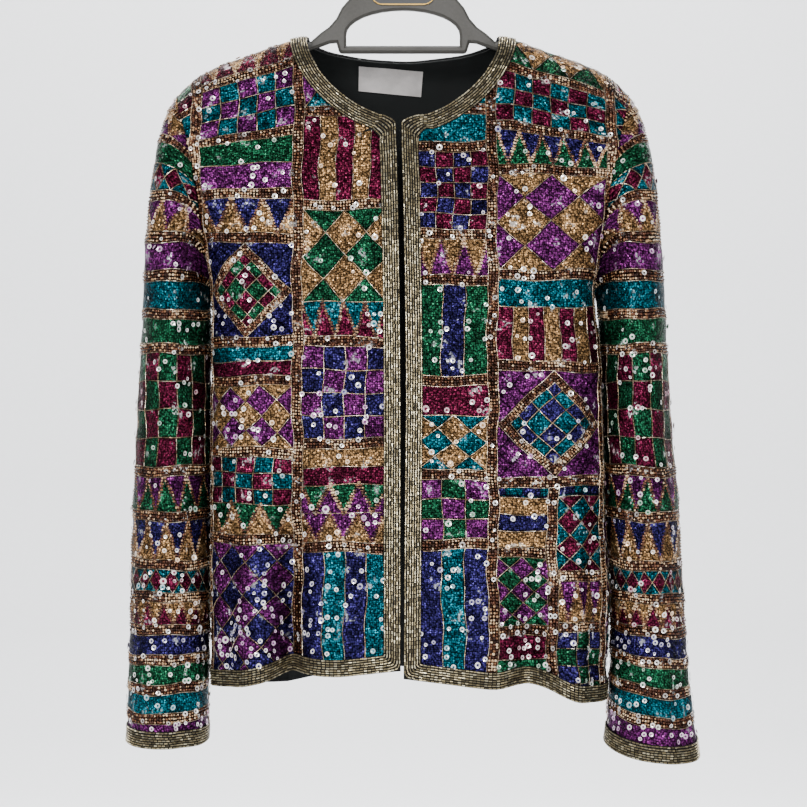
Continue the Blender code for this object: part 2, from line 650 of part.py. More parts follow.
def build_cloth():
    teal = material("beaded_cloth_front", (0.02, 0.12, 0.16), 0.45)
    plum = material("beaded_cloth_back", (0.07, 0.03, 0.09), 0.45)
    sleeve_cloth = material("beaded_cloth_sleeve", (0.03, 0.09, 0.08), 0.45)
    trim = material("bugle_bead_trim", (0.20, 0.17, 0.12), 0.30)
    lining = material("lining_cloth", (0.010, 0.014, 0.014), 0.55)
    label = material("label_cloth", (0.55, 0.52, 0.52), 0.70)

    over_edge = loop_points()[2] * SEAM
    mitres = {}
    for piece, sign in (("right", -1), ("left", 1)):
        outer, inner, normals, mitre = sleeve_points(piece)
        flip = np.array([sign, 1, 1])
        plate("sleeve_" + piece, outer * flip, inner * flip, all_cells(outer, True), sleeve_cloth, True)
        cuff = len(outer) - 2
        upper = outer + normals * (CLEAR + TRIM_RAISE)
        lower = outer + normals * CLEAR
        cells = [(cuff, i) for i in range(outer.shape[1])]
        plate("trim_cuff_" + piece, upper * flip, lower * flip, cells, trim, True)
        mitres[piece] = mitre

    for piece, sign in (("right", -1), ("left", 1)):
        u, e = front_grid(piece, FRONT_COLUMNS[piece])
        points, normals = body_points(piece, u * sign, e)
        outer = pull_in(points)
        flip = np.array([sign, 1, 1])
        arm = slice(1, ROWS_ARM)
        outer[arm, -1] = points[arm, -1] - over_edge[arm] * flip
        outer[ROWS_ARM, -1] -= over_edge[ROWS_ARM] * flip
        inner = outer - normals * WALL
        for j in range(ROWS_ARM + 1):
            inner[j, -1] = outer[j, -1] - mitres[piece][j] * flip * WALL
        plate("front_" + piece, outer, inner, all_cells(outer), teal)
        upper = outer + normals * (CLEAR + TRIM_RAISE)
        lower = outer + normals * CLEAR
        rows, wide = outer.shape[:2]
        cells = [(j, 0) for j in range(rows - 1)] + [(rows - 2, i) for i in range(1, wide - 1)]
        plate("trim_front_" + piece, upper, lower, cells, trim)

    u, e = back_grid()
    points, normals = body_points("back", u, e)
    outer = pull_in(points, first_column=True)
    count = 2 * ROWS_ARM
    for j in range(1, ROWS_ARM + 1):
        at_left = points[j, -1] if j < ROWS_ARM else outer[j, -1]
        at_right = points[j, 0] if j < ROWS_ARM else outer[j, 0]
        outer[j, -1] = at_left - over_edge[count - j]
        outer[j, 0] = at_right - over_edge[count - j] * np.array([-1, 1, 1])
    inner = outer - normals * WALL
    for j in range(ROWS_ARM + 1):
        mirrored = (count - j) % count
        inner[j, -1] = outer[j, -1] - mitres["left"][mirrored] * WALL
        inner[j, 0] = outer[j, 0] - mitres["right"][mirrored] * np.array([-1, 1, 1]) * WALL
    plate("back", outer, inner, all_cells(outer), plum)
    upper = outer + normals * (CLEAR + TRIM_RAISE)
    lower = outer + normals * CLEAR
    rows, wide = outer.shape[:2]
    plate("trim_back_neck", upper, lower, [(0, i) for i in BACK_TRIM_CELLS], trim)
    plate("trim_back_hem", upper, lower, [(rows - 2, i) for i in range(wide - 1)], trim)
    near = outer - normals * (WALL + CLEAR)
    far = outer - normals * (WALL + CLEAR + LINING_WALL)
    cells = [(j, i) for j, i in all_cells(outer) if j > 0 or i in BACK_TRIM_CELLS]
    plate("lining_back", near, far, cells, lining)
    return far, normals, label


def bilinear(grid, j, i):
    a = int(np.clip(np.floor(j), 0, grid.shape[0] - 2))
    b = int(np.clip(np.floor(i), 0, grid.shape[1] - 2))
    s = j - a
    t = i - b
    return (
        grid[a, b] * (1 - s) * (1 - t)
        + grid[a + 1, b] * s * (1 - t)
        + grid[a, b + 1] * (1 - s) * t
        + grid[a + 1, b + 1] * s * t
    )


def find_on(grid, x, z):
    """Where on a point grid the given x and z lie, by small steps from the middle."""
    at = np.array([2.0, 12.0])
    for _ in range(60):
        here = bilinear(grid, *at)
        right = bilinear(grid, at[0], at[1] + 0.05)
        down = bilinear(grid, at[0] + 0.05, at[1])
        slope = np.array([
            [(down[0] - here[0]) / 0.05, (right[0] - here[0]) / 0.05],
            [(down[2] - here[2]) / 0.05, (right[2] - here[2]) / 0.05],
        ])
        at = at + 0.6 * np.linalg.solve(slope, [x - here[0], z - here[2]])
    return at


def build_label(far, normals, label):
    corners = [find_on(far, x, z) for x, z in zip(LABEL_CORNERS["x"], LABEL_CORNERS["z"])]
    upper = np.empty((LABEL_ROWS, LABEL_COLUMNS, 3))
    lower = np.empty((LABEL_ROWS, LABEL_COLUMNS, 3))
    for a in range(LABEL_ROWS):
        for b in range(LABEL_COLUMNS):
            s = a / (LABEL_ROWS - 1)
            t = b / (LABEL_COLUMNS - 1)
            top = corners[0] * (1 - t) + corners[1] * t
            foot = corners[3] * (1 - t) + corners[2] * t
            at = top * (1 - s) + foot * s
            base = bilinear(far, *at)
            normal = bilinear(normals, *at)
            upper[a, b] = base - normal * LABEL_CLEAR
            lower[a, b] = base - normal * (LABEL_CLEAR + LABEL_WALL)
    plate("label", upper, lower, all_cells(upper), label)


def outline_curve(name, loops, half, bevel, y, made_of):
    """A plate from flat outlines in x and z: the first is its rim, the others are openings."""
    data = bpy.data.curves.new(name, "CURVE")
    data.dimensions = "2D"
    data.fill_mode = "BOTH"
    data.extrude = half - bevel
    data.bevel_depth = bevel
    data.bevel_resolution = 0
    data.offset = -bevel
    for loop in loops:
        line = data.splines.new("POLY")
        line.points.add(len(loop) - 1)
        line.use_cyclic_u = True
        for point, (x, z) in zip(line.points, loop):
            point.co = (x, z, 0, 1)
    made = bpy.data.objects.new(name, data)
    made.rotation_euler = (np.pi / 2, 0, 0)
    made.location = (0, y, 0)
    data.materials.append(made_of)
    bpy.context.collection.objects.link(made)
    return made


def arc(cx, cz, radius, from_degrees, to_degrees, count):
    angles = np.radians(np.linspace(from_degrees, to_degrees, count))
    return [(cx + radius * np.cos(a), cz + radius * np.sin(a)) for a in angles]


def build_hanger():
    grey = material("hanger_board", (0.17, 0.16, 0.14), 0.65)
    metal = material("hook_metal", (0.60, 0.58, 0.55), 0.25, 1.0)
    dark = material("badge_plate", (0.03, 0.03, 0.035), 0.35)
    right = list(HANGER_OUTLINE)
    for x in ARM_TOP_X:
        right.append((x, float(shoulder_line(x)) - ARM_REST))
    tip_x, tip_z = right[-1]
    right += [(tip_x + x, tip_z + z) for x, z in ARM_TIP]
    for x in ARM_TOP_X[-2:0:-1]:
        right.append((x, float(shoulder_line(x)) - ARM_REST - ARM_DEEP))
    right += ARM_FOOT
    right += arc(BAR_HALF - BAR_CORNER, BAR_FOOT_Z + BAR_CORNER, BAR_CORNER, 0, -90, 4)
    left = [(-x, z) for x, z in right[:0:-1]]
    middle_z = OPENING_TOP_Z - OPENING_HALF * OPENING_ROUND[0]
    opening = [
        (x, OPENING_TOP_Z - (middle_z + OPENING_HALF - z) * OPENING_ROUND[1])
        for x, z in arc(0, middle_z, OPENING_HALF, 0, 180, 17)
    ]
    opening = [(OPENING_HALF, OPENING_FOOT_Z)] + opening + [(-OPENING_HALF, OPENING_FOOT_Z)]
    outline_curve("hanger", [right + left, opening], PLATE_HALF, PLATE_BEVEL, 0, grey)

    low, high = BADGE_Z
    round_by = (high - low) / 2
    mid = (high + low) / 2
    side = BADGE_HALF - round_by
    badge = arc(side, mid, round_by, -90, 90, 9) + arc(-side, mid, round_by, 90, 270, 9)
    y = -PLATE_HALF - CLEAR - BADGE_WALL / 2
    outline_curve("hanger_badge", [badge], BADGE_WALL / 2, BADGE_BEVEL, y, dark)

    wire = bpy.data.curves.new("hanger_hook", "CURVE")
    wire.dimensions = "3D"
    wire.bevel_depth = HOOK_WIRE
    wire.bevel_resolution = 2
    wire.use_fill_caps = True
    centre_z = HOOK_WIRE - HOOK_RADIUS
    path = [(0.0, HANGER_OUTLINE[0][1] + CLEAR), HOOK_SHANK]
    path += [(HOOK_NECK[0], centre_z - HOOK_RADIUS + HOOK_NECK[1])]
    path += arc(0, centre_z, HOOK_RADIUS, *HOOK_TURN, 18)
    line = wire.splines.new("POLY")
    line.points.add(len(path) - 1)
    for point, (x, z) in zip(line.points, path):
        point.co = (x, 0, z, 1)
    wire.materials.append(metal)
    hook = bpy.data.objects.new("hanger_hook", wire)
    bpy.context.collection.objects.link(hook)


far_points, back_normals, label_cloth = build_cloth()
build_label(far_points, back_normals, label_cloth)
build_hanger()
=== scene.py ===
import bmesh
import bpy
import numpy as np
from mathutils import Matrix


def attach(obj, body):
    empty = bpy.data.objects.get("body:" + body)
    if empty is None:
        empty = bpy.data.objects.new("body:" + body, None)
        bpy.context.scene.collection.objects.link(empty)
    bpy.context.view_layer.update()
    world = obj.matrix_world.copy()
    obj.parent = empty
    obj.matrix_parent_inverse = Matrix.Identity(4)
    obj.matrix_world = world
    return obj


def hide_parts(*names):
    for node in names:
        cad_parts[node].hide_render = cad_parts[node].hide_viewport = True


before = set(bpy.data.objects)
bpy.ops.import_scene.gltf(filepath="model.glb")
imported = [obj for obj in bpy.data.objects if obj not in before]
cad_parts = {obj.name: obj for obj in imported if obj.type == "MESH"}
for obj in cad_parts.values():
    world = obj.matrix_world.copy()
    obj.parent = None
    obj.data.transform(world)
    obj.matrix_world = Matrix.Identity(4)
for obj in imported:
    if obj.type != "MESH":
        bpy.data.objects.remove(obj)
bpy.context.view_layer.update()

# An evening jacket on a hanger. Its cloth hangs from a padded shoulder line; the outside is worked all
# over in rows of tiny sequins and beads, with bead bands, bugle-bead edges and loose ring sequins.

# Cloth walls and how closely sewn pieces lie, in metres.
WALL = 0.0015
CLEAR = 0.00038
TRIM_WIDE = 0.0150
LINING_WALL = 0.0010
LABEL_WALL = 0.0006
# Points nearer to each other than this are one point.
MERGE = 2e-5
TAPE_LOW = 0.0003
TAPE_HIGH = 0.0012
# The lining hangs this much further in than the gap: without it, more of the back's wall cut into it.
LINING_EASE = 0.0006
LINING_IN = WALL + CLEAR + LINING_EASE

# Shoulder line: level over the neck, a straight slope, then a padded end that rounds over.
SHOULDER_Z = -0.1300
SHOULDER_SLOPE_FROM = 0.0945
SHOULDER_SLOPE_SOFT = 0.004
SHOULDER_SLOPE = 0.36
SHOULDER_TURN_FROM = 0.155
SHOULDER_TURN_REACH = 0.056
SHOULDER_TURN = 19.4
SHOULDER_TURN_POWER = 2.4
SHOULDER_ROUND = 0.030
SHOULDER_POINT = 0.2025
SLOPE_FADES = 0.170

# Neck, armhole and hem levels.
NECK_HALF = 0.0865
NECK_FRONT_DROP = 0.0775
NECK_BACK_DROP = 0.0177
NECK_POWER = 1.7
UNDERARM_Z = -0.362
# At the side seams the back ends level with the fronts.
BACK_HEM_SIDES = (-0.7105, -0.7155)
BACK_HEM = {
    "girth": (-0.220, -0.165, -0.120, -0.080, -0.055, 0.0, 0.060, 0.120, 0.170, 0.220),
    "z": (
        BACK_HEM_SIDES[0], -0.7165, -0.7165, -0.7118, -0.7075,
        -0.7030, -0.7045, -0.7100, -0.7150, BACK_HEM_SIDES[1],
    ),
}
CORNER_SHARE = 0.56
FRONT_CROWN = 0.006

# Corner of the neck and the front edge: how far round the neck its curve runs, where its foot and the
# trim's mitre lie below the neck, and how the trim's inner line rounds it.
NECK_SHARE = 0.80
NECK_FOOT_Z = -0.2105
NECK_FOOT_U = 0.020
CORNER_TOP_Z = -0.213
CORNER_BACK = (0.0010, 0.0018)
CORNER_CUT = 0.0012
CORNER_DOWN = 0.0065
INNER_CORNER = ((0.0222, 0.0060), (TRIM_WIDE, 0.0135), (TRIM_WIDE, 0.0190))

# The back's first row: where the neck trim ends at the shoulder, and the row's run along the shoulder.
BACK_TRIM_END = (0.0105, 0.0205)
BACK_SHOULDER_RUN = 0.0130
BACK_TRIM_STEP = 0.0012
BACK_TRIM_CELLS = range(5, 19)

# Rows of the panels: shoulder to underarm, underarm to hem trim, hem trim.
ROWS_ARM = 13
ROWS_BODY = 14
NECK_ROWS = 8
CAP_RINGS = 7
TUBE_RINGS = 19

# Steps that the shells take from one row of these grids to the next, and from one column to the next; the
# sleeve's smooth lines are drawn in smaller steps still, and lap round its closed side by some columns.
FINE = (4, 3)
FINE_SLEEVE = (8, 6)
LAP = (3, 4)

# Half width and half depth of the body at each level.
BODY = {
    "z": (
        -0.120, -0.183, -0.208, -0.235, -0.267, -0.312, -0.362,
        -0.410, -0.460, -0.550, -0.650, -0.695, -0.730,
    ),
    "half_width": (
        0.2140, 0.2130, 0.2116, 0.2070, 0.1957, 0.1796, 0.1700,
        0.1699, 0.1703, 0.1706, 0.1704, 0.1694, 0.1692,
    ),
    "left_more": (0, 0, 0, 0, 0, 0, 0, 0.0050, 0.0070, 0.0086, 0.0126, 0.0110, 0.0106),
    "depth_gain": (
        0.000, 0.006, 0.012, 0.019, 0.026, 0.032, 0.036, 0.039, 0.041, 0.045, 0.049, 0.050, 0.051,
    ),
}

# Armhole: share of the way from the shoulder point to the underarm, and the girth there.
ARMHOLE = {
    "way": (0.0, 0.1436, 0.2532, 0.369, 0.481, 0.6455, 0.7468, 0.8564),
    "girth": (0.2025, 0.2012, 0.1960, 0.1893, 0.1843, 0.1849, 0.1928, 0.2044),
}

# Front edges: distance of each edge from the middle line, outward on its own side.
FRONT_EDGE = {
    "z": (-0.213, -0.300, -0.440, -0.560, -0.710),
    "right": (0.0060, 0.0038, 0.0020, 0.0019, 0.0020),
    "left": (-0.0016, 0.0004, 0.0022, 0.0013, 0.0004),
}

# Hem level of each front by girth from its edge to the side seam.
HEM_RIGHT = {
    "girth": (0.000, 0.027, 0.053, 0.078, 0.100, 0.118, 0.139, 0.163, 0.240),
    "z": (-0.6915, -0.6940, -0.6967, -0.6955, -0.6930, -0.7005, -0.7060, -0.7070, -0.7100),
}
HEM_LEFT = {
    "girth": (0.000, 0.045, 0.086, 0.102, 0.118, 0.132, 0.146, 0.165, 0.240),
    "z": (-0.6985, -0.7040, -0.7072, -0.7035, -0.7045, -0.7100, -0.7180, -0.7205, -0.7150),
}

# Columns of each front, as shares from the trim's inner line to the side seam: closer where folds lie.
FRONT_COLUMNS = {
    "right": (0, 0.09, 0.18, 0.26, 0.32, 0.37, 0.415, 0.46, 0.51, 0.57, 0.65, 0.74, 0.83, 0.92, 1),
    "left": (0, 0.10, 0.20, 0.29, 0.36, 0.42, 0.475, 0.53, 0.585, 0.64, 0.70, 0.77, 0.84, 0.92, 1),
}

# Folds of the body: (piece, girth at top, z of top, girth at foot, z of foot, width, depth). Depth under
# zero is a trough, over zero a flute that stands out.
FOLDS = (
    ("right", 0.094, -0.450, 0.100, -0.735, 0.0125, -0.0175),
    ("right", 0.066, -0.500, 0.070, -0.735, 0.0150, 0.0060),
    ("right", 0.124, -0.470, 0.128, -0.735, 0.0150, 0.0075),
    ("right", 0.030, -0.330, 0.040, -0.660, 0.0170, -0.0030),
    ("right", 0.150, -0.220, 0.138, -0.430, 0.0170, -0.0035),
    ("left", 0.112, -0.520, 0.109, -0.735, 0.0130, -0.0130),
    ("left", 0.146, -0.560, 0.149, -0.735, 0.0140, 0.0090),
    ("left", 0.080, -0.560, 0.078, -0.735, 0.0160, 0.0050),
    ("left", 0.045, -0.400, 0.040, -0.650, 0.0180, -0.0030),
    ("left", 0.148, -0.215, 0.138, -0.430, 0.0170, -0.0035),
    ("back", -0.120, -0.480, -0.112, -0.745, 0.0160, -0.0110),
    ("back", -0.078, -0.470, -0.074, -0.745, 0.0170, 0.0060),
    ("back", 0.012, -0.340, 0.006, -0.600, 0.0200, -0.0035),
    ("back", 0.070, -0.500, 0.066, -0.745, 0.0160, -0.0100),
    ("back", 0.110, -0.490, 0.114, -0.745, 0.0160, 0.0070),
    ("back", -0.146, -0.225, -0.136, -0.430, 0.0180, -0.0040),
    ("back", 0.146, -0.225, 0.136, -0.430, 0.0180, -0.0040),
    # Finer ones than the solids have, where the cloth drags from the shoulders and beside the sleeves.
    ("right", 0.094, -0.480, 0.099, -0.735, 0.0085, -0.0050),
    ("right", 0.052, -0.235, 0.062, -0.420, 0.0120, -0.0024),
    ("right", 0.116, -0.250, 0.108, -0.470, 0.0100, -0.0026),
    ("right", 0.158, -0.420, 0.154, -0.735, 0.0100, -0.0036),
    ("left", 0.058, -0.250, 0.070, -0.450, 0.0120, -0.0024),
    ("left", 0.112, -0.300, 0.104, -0.560, 0.0100, -0.0034),
    ("left", 0.166, -0.430, 0.169, -0.735, 0.0090, -0.0038),
    ("back", -0.170, -0.430, -0.166, -0.735, 0.0120, -0.0035),
    ("back", 0.172, -0.430, 0.168, -0.735, 0.0120, -0.0035),
    ("back", -0.050, -0.240, -0.058, -0.430, 0.0130, -0.0022),
    ("back", 0.050, -0.240, 0.058, -0.430, 0.0130, -0.0022),
    ("back", -0.020, -0.520, -0.026, -0.735, 0.0120, -0.0036),
)

# Sleeves below the underarm: middle, half width across the front, half depth, middle in depth.
SLEEVE_Z = (-0.385, -0.460, -0.550, -0.650, -0.720, -0.765)
SLEEVES = {
    "right": {
        "middle": (0.2040, 0.2058, 0.2073, 0.2082, 0.2090, 0.2095),
        "half": (0.0297, 0.0318, 0.0340, 0.0350, 0.0354, 0.0352),
        "deep": (0.0720, 0.0700, 0.0650, 0.0560, 0.0500, 0.0460),
        "forward": (0.000, 0.002, 0.008, 0.018, 0.026, 0.030),
        "cuff_z": -0.7570, "cuff_tilt": 0.0040, "cuff_roll": 0.0000,
    },
    "left": {
        "middle": (0.2065, 0.2095, 0.2138, 0.2185, 0.2205, 0.2218),
        "half": (0.0290, 0.0300, 0.0328, 0.0330, 0.0365, 0.0412),
        "deep": (0.0720, 0.0700, 0.0650, 0.0560, 0.0480, 0.0420),
        "forward": (0.000, 0.002, 0.007, 0.015, 0.022, 0.026),
        "cuff_z": -0.7650, "cuff_tilt": 0.0090, "cuff_roll": 0.0060,
    },
}
SLEEVE_POWER = 0.90

# How the sleeve leaves the armhole: outward, forward and downward at the shoulder, and what changes by
# the underarm; then how strongly it keeps that way, and how strongly it comes into the tube.
CAP_START = {"out": (0.62, 0.38), "forward": 0.36, "down": (0.78, -0.70)}
CAP_LEAVE = (0.55, 0.10)
CAP_ARRIVE = 0.95

# Folds of the sleeves: (piece, angle from the outer side over the front, z of top, z of foot, width in
# degrees, depth).
SLEEVE_FOLDS = (
    ("right", 118, -0.250, -0.520, 15, -0.0035),
    ("right", 116, -0.610, -0.790, 12, -0.0050),
    ("right", 62, -0.420, -0.640, 16, -0.0025),
    ("right", 250, -0.300, -0.600, 20, -0.0050),
    ("right", 205, -0.420, -0.700, 16, -0.0030),
    ("left", 84, -0.210, -0.370, 15, -0.0045),
    ("left", 110, -0.480, -0.680, 14, -0.0030),
    ("left", 52, -0.640, -0.800, 14, -0.0040),
    ("left", 290, -0.320, -0.600, 20, -0.0050),
    ("left", 225, -0.430, -0.720, 16, -0.0030),
    # Finer ones than the solids have. Those at 180 fill the side that faces the body.
    ("right", 40, -0.230, -0.420, 16, 0.0018),
    ("right", 180, -0.250, -0.600, 45, 0.0012),
    ("right", 180, -0.400, -0.750, 45, 0.0012),
    ("right", 330, -0.380, -0.560, 18, -0.0022),
    ("right", 225, -0.240, -0.400, 18, 0.0022),
    ("right", 90, -0.500, -0.600, 14, 0.0015),
    ("left", 40, -0.420, -0.560, 16, -0.0020),
    ("left", 180, -0.230, -0.520, 40, 0.0014),
    ("left", 325, -0.300, -0.480, 18, -0.0022),
    ("left", 240, -0.450, -0.620, 18, 0.0020),
    ("left", 82, -0.560, -0.690, 14, 0.0015),
)

# Label sewn inside the back of the neck, on the lining: its corners seen from the front.
LABEL_CORNERS = {"x": (-0.0402, 0.0183, 0.0165, -0.0406), "z": (-0.1516, -0.1562, -0.1789, -0.1737)}
LABEL_CLEAR = CLEAR + 0.0003
LABEL_COLUMNS = 24
LABEL_ROWS = 10


def curve(xs, ys, x):
    """A smooth line through a short table: cubic between its rows, level past its ends."""
    xs = np.asarray(xs, float)
    ys = np.asarray(ys, float)
    x = np.asarray(x, float)
    if xs[0] > xs[-1]:
        xs = xs[::-1]
        ys = ys[::-1]
    step = np.diff(xs)
    rise = np.diff(ys, axis=0) / step
    slope = np.empty_like(ys)
    slope[1:-1] = (rise[:-1] * step[1:] + rise[1:] * step[:-1]) / (step[1:] + step[:-1])
    slope[0] = rise[0]
    slope[-1] = rise[-1]
    at = np.clip(x, xs[0], xs[-1])
    k = np.clip(np.searchsorted(xs, at, side="right") - 1, 0, len(xs) - 2)
    h = step[k]
    t = (at - xs[k]) / h
    return (
        (2 * t**3 - 3 * t**2 + 1) * ys[k]
        + (t**3 - 2 * t**2 + t) * h * slope[k]
        + (3 * t**2 - 2 * t**3) * ys[k + 1]
        + (t**3 - t**2) * h * slope[k + 1]
    )


def ease(t):
    t = np.clip(t, 0.0, 1.0)
    return t * t * (3 - 2 * t)


def shoulder_line(u):
    u = np.abs(u)
    past = u - SHOULDER_SLOPE_FROM
    sloped = 0.5 * (past + np.sqrt(past**2 + SHOULDER_SLOPE_SOFT**2))
    turned = np.clip(u - SHOULDER_TURN_FROM, 0, SHOULDER_TURN_REACH) ** SHOULDER_TURN_POWER
    return SHOULDER_Z - SHOULDER_SLOPE * sloped - SHOULDER_TURN * turned


def level_at(u, e):
    """The level of cloth at girth u and run e: the slope of the shoulders fades out further down."""
    quarter = SHOULDER_ROUND * np.pi / 2
    turn = np.clip(e / SHOULDER_ROUND, 0, np.pi / 2)
    drop = SHOULDER_ROUND * (1 - np.cos(turn)) + np.maximum(e - quarter, 0)
    slope = (shoulder_line(u) - SHOULDER_Z) * (1 - ease(e / SLOPE_FADES))
    return SHOULDER_Z + slope - drop


def run_of(u, z):
    """The run below the shoulder line at which cloth at girth u is at level z."""
    low = np.zeros(np.broadcast(u, z).shape)
    high = low + 1.0
    for _ in range(46):
        middle = (low + high) / 2
        above = level_at(u, middle) > z
        low = np.where(above, middle, low)
        high = np.where(above, high, middle)
    return np.where(low < 1e-9, 0.0, (low + high) / 2)


def body_section(z, turn, u):
    """Half width, half depth and corner radius at a level, on the side that u is on."""
    wide = curve(BODY["z"], BODY["half_width"], z)
    wide = wide + np.where(np.asarray(u) > 0, curve(BODY["z"], BODY["left_more"], z), 0)
    gain = curve(BODY["z"], BODY["depth_gain"], z)
    deep = SHOULDER_ROUND * np.sin(turn) + gain * (1 - np.cos(turn))
    return wide, deep, CORNER_SHARE * deep


def quarter_girth(z, side):
    wide, deep, corner = body_section(z, np.pi / 2, side)
    return wide - corner + corner * np.pi / 2 + deep - corner


def fold_height(piece, u, z):
    height = np.zeros(np.broadcast(u, z).shape)
    for name, u0, z0, u1, z1, wide, deep in FOLDS:
        if name != piece:
            continue
        along = (z0 - z) / (z0 - z1)
        middle = u0 + (u1 - u0) * np.clip(along, 0, 1)
        closing = 1.0 if z1 < -0.70 else 1 - ease((along - 0.55) / 0.45)
        height = height + deep * ease(along * 1.25) * closing * np.exp(-(((u - middle) / wide) ** 2))
    return height


def plain_body(u, e, front):
    """The body's cloth with no folds, at signed girth u and run e."""
    side = np.where(u < 0, -1.0, 1.0)
    out = np.abs(u)
    turn = np.clip(e / SHOULDER_ROUND, 0, np.pi / 2)
    z = level_at(u, e)
    wide, deep, corner = body_section(z, turn, u)
    flat = wide - corner
    angle = np.clip((out - flat) / np.maximum(corner, 1e-6), 0, np.pi / 2)
    past = np.maximum(out - flat - corner * np.pi / 2, 0)
    x = np.minimum(out, flat) + corner * np.sin(angle)
    y = deep - corner + corner * np.cos(angle) - past
    y = y + FRONT_CROWN * (1 - np.cos(turn)) * np.clip(1 - (x / wide) ** 2, 0, 1)
    return np.stack([side * x, np.where(front, -1.0, 1.0) * y, z], axis=-1)


def unit(v):
    return v / np.maximum(np.linalg.norm(v, axis=-1, keepdims=True), 1e-12)


def body_normal(points_at, u, e, front):
    d = 0.0002
    across = points_at(u + d, e) - points_at(u - d, e)
    down = points_at(u, e + d) - points_at(u, np.maximum(e - d, 0))
    normal = unit(np.cross(across, down))
    return normal if not front else -normal


def body_points(piece, u, e):
    """Outer points and outward normals of a body panel."""
    front = piece != "back"
    sign = -1.0 if piece == "right" else 1.0

    def plain(a, b):
        return plain_body(a, b, front)

    def folded(a, b):
        base = plain(a, b)
        lift = fold_height(piece, a * sign if front else a, base[..., 2])
        return base + body_normal(plain, a, b, front) * lift[..., None]

    return folded(u, e), body_normal(folded, u, e, front)


def armhole(share):
    """Girth and run of the armhole at shares of the way from the shoulder point to the underarm."""
    share = np.asarray(share, float)
    ways = ARMHOLE["way"] + (1.0,)
    girths = ARMHOLE["girth"] + (float(quarter_girth(UNDERARM_Z, 1)),)
    u = curve(ways, girths, share)
    top = shoulder_line(SHOULDER_POINT)
    z = top + (UNDERARM_Z - top) * (1 - np.cos(np.pi * share)) / 2
    return u, run_of(u, z)


def side_boundary(hem_z, side):
    """Armhole, then side seam down to the top of the hem trim; side is -1 for the right, 1 for the left."""
    u_arm, e_arm = armhole(np.arange(ROWS_ARM + 1) / ROWS_ARM)
    z = np.linspace(UNDERARM_Z, hem_z + TRIM_WIDE, ROWS_BODY + 1)[1:]
    u = quarter_girth(z, side)
    return np.append(u_arm, u), np.append(e_arm, run_of(u, z))


def neck_curve(share, drop):
    angle = share * np.pi / 2
    x = NECK_HALF * np.cos(angle) ** (2 / NECK_POWER)
    return x, SHOULDER_Z - drop * np.sin(angle) ** (2 / NECK_POWER)


def offset_in(u, e, distance):
    """A line moved sideways by a distance, to the side that it turns away from."""
    du = np.gradient(u)
    de = np.gradient(e)
    long = np.hypot(du, de)
    return u + distance * de / long, e - distance * du / long


def fill(left, right, top, bottom, s, t):
    """Blends four edges into a grid; each edge is (girths, runs)."""
    grid = []
    for part in range(2):
        a = np.asarray(left[part])[:, None]
        b = np.asarray(right[part])[:, None]
        c = np.asarray(top[part])[None, :]
        d = np.asarray(bottom[part])[None, :]
        ss = s[None, :]
        tt = t[:, None]
        corners = (
            (1 - ss) * (1 - tt) * a[0] + ss * (1 - tt) * b[0] + (1 - ss) * tt * a[-1] + ss * tt * b[-1]
        )
        grid.append((1 - ss) * a + ss * b + (1 - tt) * c + tt * d - corners)
    return grid


def shares(*lines):
    """Mean share of the length along lines that have the same count of points."""
    total = 0
    for u, e in lines:
        run = np.append(0, np.cumsum(np.hypot(np.diff(u), np.diff(e))))
        total = total + run / run[-1]
    return total / len(lines)


